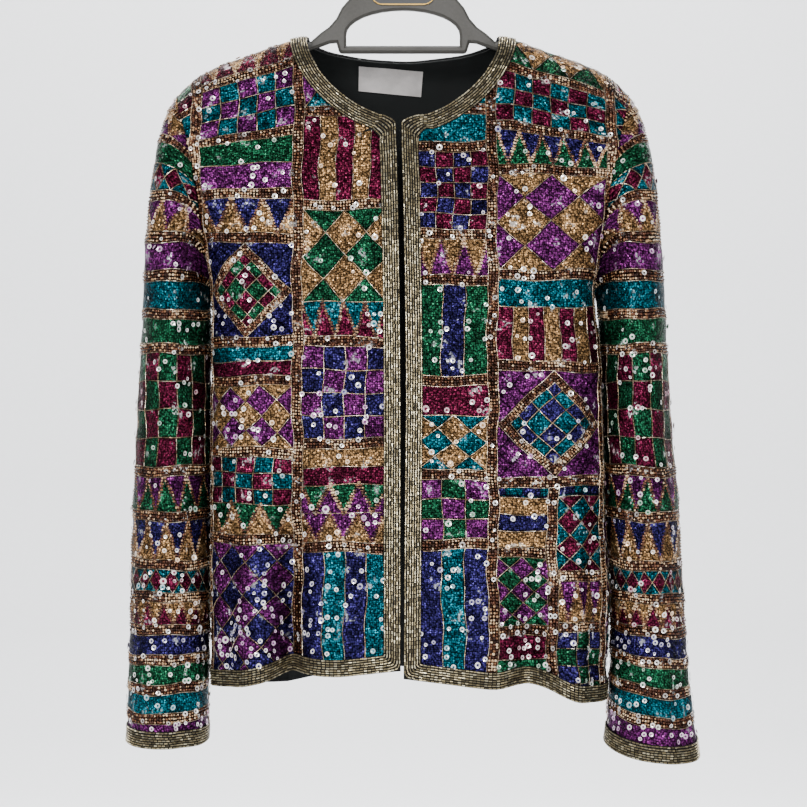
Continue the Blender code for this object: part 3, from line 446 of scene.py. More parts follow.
def front_grid(piece, columns):
    """Girth, on the panel's own side, and run at each point of a front: column 0 is the neck and front
    edge, column 1 is the inner line of the trim, the last row is the hem."""
    hem = HEM_RIGHT if piece == "right" else HEM_LEFT
    side_u, side_e = side_boundary(float(hem["z"][-1]), -1 if piece == "right" else 1)
    hem_u = np.asarray(columns, float)
    edge_x, edge_z = neck_curve(np.linspace(0, NECK_SHARE, NECK_ROWS - 1), NECK_FRONT_DROP)
    edge_e = run_of(edge_x, edge_z)
    inner_u, inner_e = offset_in(edge_x, edge_e, TRIM_WIDE)
    inner_u[0] = NECK_HALF + TRIM_WIDE
    inner_e[0] = 0.0
    corner_x = float(curve(FRONT_EDGE["z"], FRONT_EDGE[piece], CORNER_TOP_Z))
    level = float(run_of(np.array(NECK_FOOT_U), np.array(NECK_FOOT_Z)))
    half_x = 0.5 * edge_x[-1] + 0.5 * corner_x + CORNER_BACK[0]
    half_e = 0.55 * edge_e[-1] + 0.45 * level - CORNER_BACK[1]
    edge_u = np.append(edge_x, [half_x, corner_x + CORNER_CUT, corner_x])
    edge_e = np.append(edge_e, [half_e, level - CORNER_CUT, level + CORNER_DOWN])
    inner_u = np.append(inner_u, [corner_x + across for across, _ in INNER_CORNER])
    inner_e = np.append(inner_e, [level + down for _, down in INNER_CORNER])
    rows_left = ROWS_ARM + ROWS_BODY - len(edge_u)
    top_z = float(level_at(NECK_FOOT_U, level + INNER_CORNER[-1][1]))
    hem_edge_z = float(curve(hem["girth"], hem["z"], 0.0))
    z = np.linspace(top_z, hem_edge_z + TRIM_WIDE, rows_left + 2)[1:]
    x = curve(FRONT_EDGE["z"], FRONT_EDGE[piece], z)
    edge_u = np.append(edge_u, x)
    edge_e = np.append(edge_e, run_of(x, z))
    inner_u = np.append(inner_u, x + TRIM_WIDE)
    inner_e = np.append(inner_e, run_of(x + TRIM_WIDE, z))
    last = len(edge_u) - 1
    bottom_u = inner_u[-1] + (side_u[-1] - inner_u[-1]) * hem_u
    hem_z = curve(hem["girth"], hem["z"], bottom_u)
    bottom_e = run_of(bottom_u, hem_z + TRIM_WIDE)
    inner_e[-1] = bottom_e[0]
    edge_e[-1] = run_of(edge_u[-1], curve(hem["girth"], hem["z"], edge_u[-1]) + TRIM_WIDE)
    top_u = inner_u[0] + (SHOULDER_POINT - inner_u[0]) * hem_u
    top_e = np.zeros_like(top_u)
    left = (inner_u, inner_e)
    right = (side_u[: last + 1], side_e[: last + 1])
    u, e = fill(left, right, (top_u, top_e), (bottom_u, bottom_e), hem_u, shares(left, right))
    e = np.maximum(e, 0)
    u = np.column_stack([edge_u, u])
    e = np.column_stack([edge_e, e])
    foot_z = curve(hem["girth"], hem["z"], u[-1])
    return np.vstack([u, u[-1]]), np.vstack([e, run_of(u[-1], foot_z)])


def back_grid():
    """Signed girth and run at each point of the back, from the right side to the left."""
    side_u, side_e = side_boundary(BACK_HEM_SIDES[1], 1)
    right_u, right_e = side_boundary(BACK_HEM_SIDES[0], -1)
    neck_x, neck_z = neck_curve(np.linspace(0, 1, 7), NECK_BACK_DROP)
    neck_x = np.maximum(neck_x, 0)
    neck_e = run_of(neck_x, neck_z)
    low_u, low_e = offset_in(neck_x, neck_e, TRIM_WIDE)
    low_u[-1] = 0.0
    low_u[0] = NECK_HALF + BACK_TRIM_END[0]
    low_e[0] = BACK_TRIM_END[1]
    shoulder = np.linspace(NECK_HALF + TRIM_WIDE, SHOULDER_POINT, 6)
    top_u = np.concatenate([shoulder[::-1], neck_x])
    top_e = np.concatenate([np.zeros(6), neck_e])
    row_u = np.concatenate([shoulder[::-1], low_u])
    row_e = np.concatenate([np.full(6, BACK_SHOULDER_RUN), low_e])
    row_u[0] = side_u[1]
    row_e[0] = side_e[1]
    row_u[5] = NECK_HALF + TRIM_WIDE - BACK_TRIM_STEP
    top_u = np.concatenate([-top_u, top_u[-2::-1]])
    top_e = np.concatenate([top_e, top_e[-2::-1]])
    row_u = np.concatenate([-row_u, row_u[-2::-1]])
    row_e = np.concatenate([row_e, row_e[-2::-1]])
    left = (-right_u[1:], right_e[1:])
    right = (side_u[1:], side_e[1:])
    s = shares((row_u, row_e * 0))
    bottom_u = left[0][-1] + (right[0][-1] - left[0][-1]) * s
    hem_z = curve(BACK_HEM["girth"], BACK_HEM["z"], bottom_u)
    bottom_e = run_of(bottom_u, hem_z + TRIM_WIDE)
    t = shares(left, ((0 * left[0]), np.linspace(row_e[12], bottom_e[12], len(left[0]))))
    u, e = fill(left, right, (row_u, row_e), (bottom_u, bottom_e), s, t)
    foot = run_of(bottom_u, hem_z)
    return np.vstack([top_u, u, u[-1]]), np.vstack([top_e, e, foot])


def loop_points():
    """Armhole seam points on the left side: down the front from the shoulder point to the underarm, then
    up behind."""
    front, _ = body_points("plain", *armhole(np.arange(ROWS_ARM + 1) / ROWS_ARM))
    back = front * np.array([1, -1, 1])
    return np.concatenate([front, back[-2:0:-1]])


def sleeve_rings(piece):
    """Outer points of a sleeve, ring by ring from the armhole to the cuff, on the left side."""
    table = SLEEVES[piece]
    loop = loop_points()
    count = len(loop)
    k = np.arange(count)
    way = np.minimum(k, count - k) / ROWS_ARM
    angle = 2 * np.pi * k / count
    outward = CAP_START["out"][0] + CAP_START["out"][1] * way
    downward = CAP_START["down"][0] + CAP_START["down"][1] * way
    start = unit(np.stack([outward, -CAP_START["forward"] * np.sin(angle), -downward], axis=-1))

    def tube(z_mid, share_down):
        middle = curve(SLEEVE_Z, table["middle"], z_mid)
        half = curve(SLEEVE_Z, table["half"], z_mid)
        deep = curve(SLEEVE_Z, table["deep"], z_mid)
        forward = curve(SLEEVE_Z, table["forward"], z_mid)
        c = np.cos(angle)
        s = np.sin(angle)
        x = middle + half * np.sign(c) * np.abs(c) ** SLEEVE_POWER
        y = -forward - deep * np.sign(s) * np.abs(s) ** SLEEVE_POWER
        z = z_mid - share_down * (table["cuff_tilt"] * s + table["cuff_roll"] * c)
        return np.stack([x, y, np.broadcast_to(z, x.shape)], axis=-1)

    first_z = SLEEVE_Z[0]
    trim_z = table["cuff_z"] + TRIM_WIDE
    ring_z = np.append(first_z + (trim_z - first_z) * np.linspace(0, 1, TUBE_RINGS), table["cuff_z"])
    share_down = ((first_z - ring_z) / (first_z - table["cuff_z"])) ** 2
    tubes = np.array([tube(z, d) for z, d in zip(ring_z, share_down)])
    end = tubes[0]
    chord = np.linalg.norm(end - loop, axis=-1, keepdims=True)
    leave = start * chord * (CAP_LEAVE[0] + CAP_LEAVE[1] * way[:, None])
    arrive = unit(tubes[1] - tubes[0]) * chord * CAP_ARRIVE
    rings = []
    for t in np.linspace(0, 1, CAP_RINGS + 1)[:-1]:
        rings.append(
            (2 * t**3 - 3 * t**2 + 1) * loop
            + (t**3 - 2 * t**2 + t) * leave
            + (3 * t**2 - 2 * t**3) * end
            + (t**3 - t**2) * arrive
        )
    rings = np.concatenate([np.array(rings), tubes])
    return rings, angle


def ring_normals(rings):
    around = np.roll(rings, -1, axis=1) - np.roll(rings, 1, axis=1)
    down = np.empty_like(rings)
    down[1:-1] = rings[2:] - rings[:-2]
    down[0] = rings[1] - rings[0]
    down[-1] = rings[-1] - rings[-2]
    return unit(np.cross(around, down))


def refine(grid, times):
    """A control grid with more points between its rows and its columns, on smooth lines."""
    for axis in (0, 1):
        rows = np.moveaxis(grid, axis, 0)
        count = len(rows)
        fine = np.linspace(0, count - 1, (count - 1) * times[axis] + 1)
        lines = [curve(np.arange(count), line, fine) for line in rows.reshape(count, -1).T]
        rows = np.stack(lines, axis=1).reshape((len(fine),) + rows.shape[1:])
        grid = np.moveaxis(rows, 0, axis)
    return grid


# The drawing on the cloth wanders a little, as hand work does. All its waves close round a sleeve.
SLEEVE_ROUND = 0.280
TURN = 2 * np.pi / SLEEVE_ROUND
WANDER = 0.0010


def wander(s, e):
    """How far the drawing strays at a place."""
    across = WANDER * (np.sin(64 * e + TURN * s) + 0.6 * np.sin(151 * e - 3 * TURN * s + 1.3))
    down = WANDER * (np.sin(2 * TURN * s - 31 * e + 0.7) + 0.6 * np.sin(5 * TURN * s + 97 * e))
    return across, down


def drawn(s, e):
    """Where in the drawing a place on the cloth is."""
    across, down = wander(s, e)
    return s + across, e + down


def on_cloth(x, y):
    """Where on the cloth a place in the drawing is."""
    s, e = x, y
    for _ in range(6):
        across, down = wander(s, e)
        s, e = x - across, y - down
    return s, e


def ripple(points):
    """The small unevenness of heavy beaded cloth."""
    x, z = points[..., 0], points[..., 2]
    return 0.0004 * np.sin(130 * x + 40 * z) * np.sin(95 * z - 30 * x) + 0.0003 * np.sin(210 * z + 60 * x)


def between(first, second, share):
    return first * (1 - share) + second * share


def in_outline(x, y, outline):
    inside = np.zeros(x.shape, bool)
    for (x0, y0), (x1, y1) in zip(outline, np.roll(outline, -1, axis=0)):
        crosses = (y0 > y) != (y1 > y)
        if y0 != y1:
            inside ^= crosses & (x < (x1 - x0) * (y - y0) / (y1 - y0) + x0)
    return inside


class BodyPanel:
    """A front or the back: where its drawing lies on the jacket, and which part of it is free of trim."""

    def __init__(self, piece):
        self.piece = piece
        self.sign = -1.0 if piece == "right" else 1.0
        u, e = back_grid() if piece == "back" else front_grid(piece, FRONT_COLUMNS[piece])
        self.times = FINE
        fine = refine(np.stack([u, e], axis=-1), self.times)
        self.u, self.e = fine[..., 0], np.maximum(fine[..., 1], 0)
        rows, columns = self.u.shape
        down, across = self.times
        self.trim = np.zeros((rows - 1, columns - 1), bool)
        self.trim[-down:] = True
        if piece == "back":
            self.trim[:down, BACK_TRIM_CELLS[0] * across : (BACK_TRIM_CELLS[-1] + 1) * across] = True
            top, side = down, 0
        else:
            self.trim[:, :across] = True
            top, side = 0, across
        u, e = self.u, self.e
        line = [
            np.stack([u[top, side:-1], e[top, side:-1]], -1),
            np.stack([u[top : -down - 1, -1], e[top : -down - 1, -1]], -1),
            np.stack([u[-down - 1, :side:-1], e[-down - 1, :side:-1]], -1),
            np.stack([u[-down - 1 : top : -1, side], e[-down - 1 : top : -1, side]], -1),
        ]
        self.outline = np.concatenate(line)

    def place(self, x, y):
        u, e = on_cloth(x, y)
        points, normals = body_points(self.piece, u * self.sign, np.maximum(e, 0))
        return points + normals * ripple(points)[..., None], normals

    def free(self, x, y):
        u, e = on_cloth(x, y)
        return in_outline(u, e, self.outline)


class SleevePanel:
    """A sleeve, opened along the seam under the arm: across is round the arm, down is from the cap."""

    def __init__(self, piece):
        self.piece = piece
        rings, angle = sleeve_rings(piece)
        normals = ring_normals(rings)
        degrees = np.degrees(angle)[None, :]
        z = rings[..., 2]
        lift = np.zeros(z.shape)
        for name, at, z0, z1, wide, deep in SLEEVE_FOLDS:
            if name != piece:
                continue
            share = (z0 - z) / (z0 - z1)
            closing = 1.0 if z1 < -0.77 else 1 - ease((share - 0.5) * 2)
            away = np.exp(-(((degrees - at) / wide) ** 2))
            lift = lift + deep * ease(share * 2) * closing * away
        settled = ease(np.arange(len(rings)) / (CAP_RINGS - 1))[:, None]
        rings = rings + normals * (lift * settled)[..., None]
        self.count = rings.shape[1]
        step = np.linalg.norm(np.diff(rings, axis=0), axis=-1)
        self.cap = step[:CAP_RINGS].sum(axis=0)
        self.start = float(self.cap.max())
        down = np.append(0, np.cumsum(step[CAP_RINGS:].mean(axis=1)))
        self.tube = self.start + down
        self.ring_at = CAP_RINGS + np.arange(len(down))
        wrapped = np.concatenate([rings[:, -LAP[0] :], rings, rings[:, : LAP[1]]], axis=1)
        self.fine = refine(wrapped, FINE_SLEEVE)
        around = np.gradient(self.fine, axis=1)
        downward = np.gradient(self.fine, axis=0)
        self.normals = unit(np.cross(around, downward))
        self.flip = np.array([-1.0 if piece == "right" else 1.0, 1, 1])
        self.last = float(self.tube[-2])

    def column(self, s):
        return (s / SLEEVE_ROUND * self.count + self.count / 2) % self.count

    def cap_at(self, k):
        closed = np.append(self.cap, self.cap[0])
        return np.interp(k, np.arange(self.count + 1), closed)

    def down_of(self, ring, k):
        """How far down the drawing a ring is, at a column."""
        cap = self.start - (1 - np.minimum(ring / CAP_RINGS, 1)) * self.cap_at(k)
        return np.where(ring < CAP_RINGS, cap, np.interp(ring, self.ring_at, self.tube))

    def place(self, x, y):
        s, v = on_cloth(x, y)
        k = self.column(s)
        cap = CAP_RINGS * (1 - (self.start - v) / self.cap_at(k))
        ring = np.where(v < self.start, np.maximum(cap, 0), np.interp(v, self.tube, self.ring_at))
        row = np.clip(ring * FINE_SLEEVE[0], 0, self.fine.shape[0] - 1.000001)
        col = (k + LAP[0]) * FINE_SLEEVE[1]
        a, b = np.floor(row).astype(int), np.floor(col).astype(int)
        f, g = (row - a)[..., None], (col - b)[..., None]
        both = []
        for grid in (self.fine, self.normals):
            both.append(
                (grid[a, b] * (1 - g) + grid[a, b + 1] * g) * (1 - f)
                + (grid[a + 1, b] * (1 - g) + grid[a + 1, b + 1] * g) * f
            )
        points, normals = both[0] * self.flip, unit(both[1]) * self.flip
        settled = np.clip(ring / 2, 0, 1)
        return points + normals * (ripple(points) * settled)[..., None], normals

    def free(self, x, y):
        s, v = on_cloth(x, y)
        top = self.start - self.cap_at(self.column(s))
        return (v > top + 0.0012) & (v < self.last - 0.0004)


# Colours of the work, as the eye takes them where no light is caught.
COLOURS = {
    "teal": "#0c5764", "green": "#185036", "purple": "#62245f", "wine": "#5c1732",
    "navy": "#2a2456", "sand": "#9c7850", "brown": "#2c1a12", "black": "#0a0908",
}


def linear(code):
    parts = [int(code[i : i + 2], 16) / 255 for i in (1, 3, 5)]
    return tuple(v / 12.92 if v <= 0.04045 else ((v + 0.055) / 1.055) ** 2.4 for v in parts)


def patch(x0, x1, y0, y1, kind, a, b="brown", nx=1, ny=1, c="black"):
    return {"box": (x0, x1, y0, y1), "kind": kind, "a": a, "b": b, "c": c, "nx": nx, "ny": ny}


BAND = 0.0088


def stack(x0, x1, start, rows):
    """Patches one under another; a row is (height in mm, kind, colours..., counts) and ends in a bead
    band, unless its last word is 'join'."""
    made = []
    at = start
    for row in rows:
        row = list(row)
        joined = row[-1] == "join"
        if joined:
            row.pop()
        high = row.pop(0) / 1000
        kind = row.pop(0)
        names = [w for w in row if isinstance(w, str)]
        counts = [w for w in row if not isinstance(w, str)] + [1, 1]
        colours = names + ["brown"] * (2 - len(names))
        third = names[2] if len(names) > 2 else "black"
        if kind == "zigzag":
            each = high / counts[1]
            for k in range(counts[1]):
                pair = colours[:2] if k % 2 == 0 else [colours[1], third]
                made.append(patch(x0, x1, at, at + each, kind, *pair, counts[0], 0.5))
                at += each
        else:
            made.append(patch(x0, x1, at, at + high, kind, *colours[:2], counts[0], counts[1], third))
            at += high
        if not joined:
            made.append(patch(x0, x1, at, at + BAND, "band", "brown"))
            at += BAND
    return made


def upright(x0, y0=-0.01, y1=0.70):
    """A bead band that runs down between two columns."""
    return [patch(x0, x0 + BAND, y0, y1, "band", "brown")]


FRONT_RIGHT_WORK = (
    stack(0.0140, 0.0880, -0.004, (
        (88, "lozenges", "teal", "purple", 2, 2),
        (74, "bars", "wine", "sand", 5, 1),
        (82, "lozenges", "green", "sand", 2, 2, "join"),
        (30, "zigzag", "teal", "wine", 4, 1),
        (80, "checks", "navy", "purple", 4, 4),
        (32, "stripes", "sand", "wine", 1, 2, "join"),
        (50, "zigzag", "green", "purple", "sand", 3, 2),
        (150, "bars", "teal", "navy", 4, 1),
    ))
    + upright(0.0880)
    + stack(0.0968, 0.1790, -0.004, (
        (40, "zigzag", "sand", "wine", 4, 1),
        (56, "checks", "purple", "teal", 5, 3),
        (24, "plain", "green", "join"),
        (24, "plain", "purple"),
        (30, "zigzag", "navy", "sand", 3, 1),
        (82, "framed", "green", "wine", 4, 4, "navy"),
        (26, "stripes", "teal", "wine", 1, 2),
        (54, "lozenges", "sand", "purple", 3, 2),
        (40, "checks", "wine", "teal", 5, 3, "join"),
        (26, "zigzag", "green", "sand", 3, 1),
        (150, "lozenges", "purple", "navy", 3, 5),
    ))
    + upright(0.1790)
    + stack(0.1878, 0.2600, -0.004, (
        (60, "checks", "wine", "green", 4, 3),
        (30, "plain", "teal"),
        (70, "bars", "purple", "sand", 5, 1),
        (56, "lozenges", "green", "wine", 2, 2),
        (28, "zigzag", "sand", "navy", 4, 1),
        (74, "checks", "teal", "purple", 4, 4),
        (32, "stripes", "wine", "sand", 1, 2),
        (60, "lozenges", "navy", "teal", 3, 3),
        (160, "bars", "green", "purple", 4, 1),
    ))
)
FRONT_LEFT_WORK = (
    stack(0.0140, 0.0740, -0.004, (
        (86, "checks", "teal", "navy", 4, 4),
        (24, "plain", "teal"),
        (70, "checks", "navy", "wine", 4, 5),
        (32, "zigzag", "sand", "purple", 3, 1),
        (78, "bars", "green", "navy", 3, 1),
        (26, "plain", "wine", "join"),
        (48, "lozenges", "teal", "sand", 2, 2),
        (52, "checks", "purple", "green", 3, 3),
        (200, "bars", "navy", "teal", 3, 1),
    ))
    + upright(0.0740)
    + stack(0.0828, 0.1800, -0.004, (
        (46, "lozenges", "green", "sand", 3, 1),
        (46, "checks", "wine", "teal", 6, 3),
        (30, "zigzag", "navy", "green", 5, 1),
        (84, "lozenges", "sand", "purple", 2, 2),
        (24, "plain", "teal", "join"),
        (48, "bars", "wine", "sand", 7, 1),
        (92, "framed", "teal", "navy", 4, 4, "purple"),
    ))
    + stack(0.0828, 0.1260, 0.4276, (
        (44, "stripes", "sand", "navy", 1, 3),
        (60, "lozenges", "green", "purple", 2, 3),
        (120, "stripes", "wine", "green", 1, 6),
    ))
    + upright(0.1260, 0.4188)
    + stack(0.1348, 0.1800, 0.4276, (
        (64, "lozenges", "wine", "teal", 2, 3),
        (36, "zigzag", "purple", "sand", 3, 1),
        (120, "checks", "navy", "green", 3, 8),
    ))
    + upright(0.1800)
    + stack(0.1888, 0.2600, -0.004, (
        (34, "zigzag", "green", "wine", 4, 1),
        (60, "lozenges", "wine", "teal", 3, 3),
        (30, "bars", "sand", "navy", 5, 1, "join"),
        (52, "checks", "wine", "purple", 4, 3),
        (28, "zigzag", "teal", "sand", 4, 1),
        (76, "lozenges", "navy", "green", 2, 3),
        (36, "stripes", "purple", "navy", 1, 2),
        (72, "checks", "wine", "green", 4, 4),
        (160, "lozenges", "teal", "purple", 3, 6),
    ))
)
BACK_WORK = (
    stack(-0.2500, -0.1600, -0.004, (
        (40, "zigzag", "sand", "wine", 6, 1),
        (70, "lozenges", "green", "purple", 4, 3),
        (48, "checks", "teal", "wine", 5, 3),
        (26, "plain", "navy"),
        (84, "lozenges", "wine", "green", 3, 3),
        (34, "zigzag", "teal", "sand", 5, 1),
        (66, "checks", "purple", "green", 5, 4),
        (40, "stripes", "sand", "navy", 1, 3),
        (160, "lozenges", "purple", "teal", 4, 7),
    ))
    + upright(-0.1600)
    + stack(-0.1512, -0.0620, -0.004, (
        (66, "checks", "navy", "wine", 5, 4),
        (30, "zigzag", "green", "sand", 5, 1),
        (84, "lozenges", "teal", "purple", 3, 3),
        (56, "bars", "wine", "sand", 6, 1),
        (72, "lozenges", "navy", "sand", 4, 3),
        (28, "plain", "teal", "join"),
        (26, "plain", "wine"),
        (60, "zigzag", "purple", "green", "sand", 5, 2),
        (160, "bars", "green", "navy", 5, 1),
    ))
    + upright(-0.0620)
    + stack(-0.0532, 0.0440, -0.004, (
        (60, "lozenges", "wine", "sand", 4, 2),
        (52, "checks", "purple", "teal", 6, 3),
        (26, "zigzag", "navy", "green", 6, 1),
        (96, "framed", "teal", "purple", 4, 4, "wine"),
        (30, "stripes", "sand", "green", 1, 2),
        (76, "checks", "wine", "green", 6, 5),
        (34, "zigzag", "sand", "purple", 5, 1),
        (170, "lozenges", "navy", "teal", 4, 7),
    ))
    + upright(0.0440)
    + stack(0.0528, 0.1420, -0.004, (
        (50, "zigzag", "teal", "wine", "sand", 5, 2),
        (80, "framed", "green", "sand", 4, 4, "purple"),
        (46, "checks", "navy", "teal", 5, 3),
        (28, "plain", "purple"),
        (70, "lozenges", "wine", "green", 4, 3),
        (54, "bars", "teal", "sand", 6, 1),
        (70, "checks", "purple", "wine", 5, 4),
        (30, "zigzag", "green", "navy", 5, 1),
        (160, "stripes", "wine", "teal", 1, 7),
    ))
    + upright(0.1420)
    + stack(0.1508, 0.2500, -0.004, (
        (44, "lozenges", "sand", "navy", 5, 2),
        (62, "checks", "green", "purple", 5, 3),
        (32, "zigzag", "wine", "teal", 5, 1),
        (76, "lozenges", "navy", "green", 4, 3),
        (28, "plain", "sand", "join"),
        (44, "bars", "purple", "teal", 6, 1),
        (80, "lozenges", "purple", "sand", 3, 3),
        (36, "zigzag", "wine", "green", 5, 1),
        (150, "checks", "teal", "navy", 5, 8),
    ))
)
SLEEVE_ROWS = (
    (30, "lozenges", "wine", "sand", 12, 1),
    (24, "zigzag", "sand", "purple", 12, 1),
    (20, "plain", "green", "join"),
    (22, "lozenges", "teal", "wine", 16, 1),
    (24, "zigzag", "purple", "sand", 12, 1),
    (21, "plain", "purple"),
    (23, "plain", "teal"),
    (22, "plain", "green"),
    (98, "checks", "green", "wine", 14, 4),
    (30, "zigzag", "purple", "green", 12, 1),
    (34, "zigzag", "navy", "sand", 12, 1),
    (20, "lozenges", "teal", "wine", 18, 1),
    (20, "zigzag", "sand", "wine", 16, 1),
    (17, "plain", "navy"),
    (16, "plain", "green"),
    (16, "plain", "teal"),
    (40, "plain", "purple"),
)


def pattern_at(one, x, y):
    """Where a point lies in its patch's pattern: the colour changes where either number passes a whole."""
    x0, x1, y0, y1 = one["box"]
    a = (x - x0) / (x1 - x0) * one["nx"]
    b = (y - y0) / (y1 - y0) * one["ny"]
    half = np.full(np.shape(a), 0.5)
    return {
        "checks": (a, b), "bars": (a, half), "stripes": (b, half),
        "lozenges": (a + b, a - b), "zigzag": (a + b, a - b), "framed": (a + b, a - b),
    }.get(one["kind"], (half, half))


def cell_size(one):
    """How far apart a pattern's lines are, in millimetres, one number for each of its directions."""
    x0, x1, y0, y1 = one["box"]
    wide, high = 1000 * (x1 - x0) / one["nx"], 1000 * (y1 - y0) / one["ny"]
    slant = wide * high / np.hypot(wide, high)
    return {
        "checks": (wide, high), "bars": (wide, 1000.0), "stripes": (high, 1000.0),
        "lozenges": (slant, slant), "zigzag": (slant, slant), "framed": (slant, slant),
    }.get(one["kind"], (1000.0, 1000.0))


# The lozenge in a framed patch: its share of the frame's, and the rows of beads in the frame.
FRAME_IN = 0.78
FRAME_ROWS = (0.83, 0.89, 0.95)
SIDES = ((-1, -1), (-1, 1), (1, -1), (1, 1))


def frame_share(one, x, y):
    """0 in the middle of a framed patch, 1 on the lozenge through the middles of its sides."""
    x0, x1, y0, y1 = one["box"]
    return np.abs(2 * x - x0 - x1) / (x1 - x0) + np.abs(2 * y - y0 - y1) / (y1 - y0)


def frame_sides(one, share):
    """The four sides of a lozenge in a framed patch, as ends in the drawing."""
    x0, x1, y0, y1 = one["box"]
    cx, cy = (x0 + x1) / 2, (y0 + y1) / 2
    wide, high = (x1 - x0) / 2 * share, (y1 - y0) / 2 * share
    return [(cx + sx * wide, cy, cx, cy + sy * high) for sx, sy in SIDES]


def patch_numbers(patches, x, y):
    number = np.zeros(x.shape, int)
    for k, one in enumerate(patches):
        x0, x1, y0, y1 = one["box"]
        number[(x >= x0) & (x < x1) & (y >= y0) & (y < y1)] = k
    return number


def colours_of(one, x, y):
    """The two colours of a patch's pattern at points in it, one of them in a plain place."""
    a = np.tile(linear(COLOURS[one["a"]]), (len(x), 1))
    b = np.tile(linear(COLOURS[one["b"]]), (len(x), 1))
    if one["kind"] in ("plain", "band"):
        b = a.copy()
    if one["kind"] == "framed":
        share = frame_share(one, x, y)
        corner, ground = share > 1, (share > FRAME_IN) & (share <= 1)
        a[corner] = b[corner] = linear(COLOURS[one["c"]])
        a[ground] = b[ground] = linear(COLOURS["brown"])
    return a, b


def put(tree, kind, inputs=None, **settings):
    """Adds a node with its settings, and its inputs' values or links."""
    made = tree.nodes.new("ShaderNode" + kind)
    for key, value in settings.items():
        setattr(made, key, value)
    for key, value in (inputs or {}).items():
        if isinstance(value, bpy.types.NodeSocket):
            tree.links.new(value, made.inputs[key])
        else:
            made.inputs[key].default_value = value
    return made


def new_material(name):
    made = bpy.data.materials.new(name)
    made.use_nodes = True
    made.node_tree.nodes.clear()
    return made, made.node_tree


def finish_material(tree, shader):
    put(tree, "OutputMaterial", {"Surface": shader.outputs[0]})


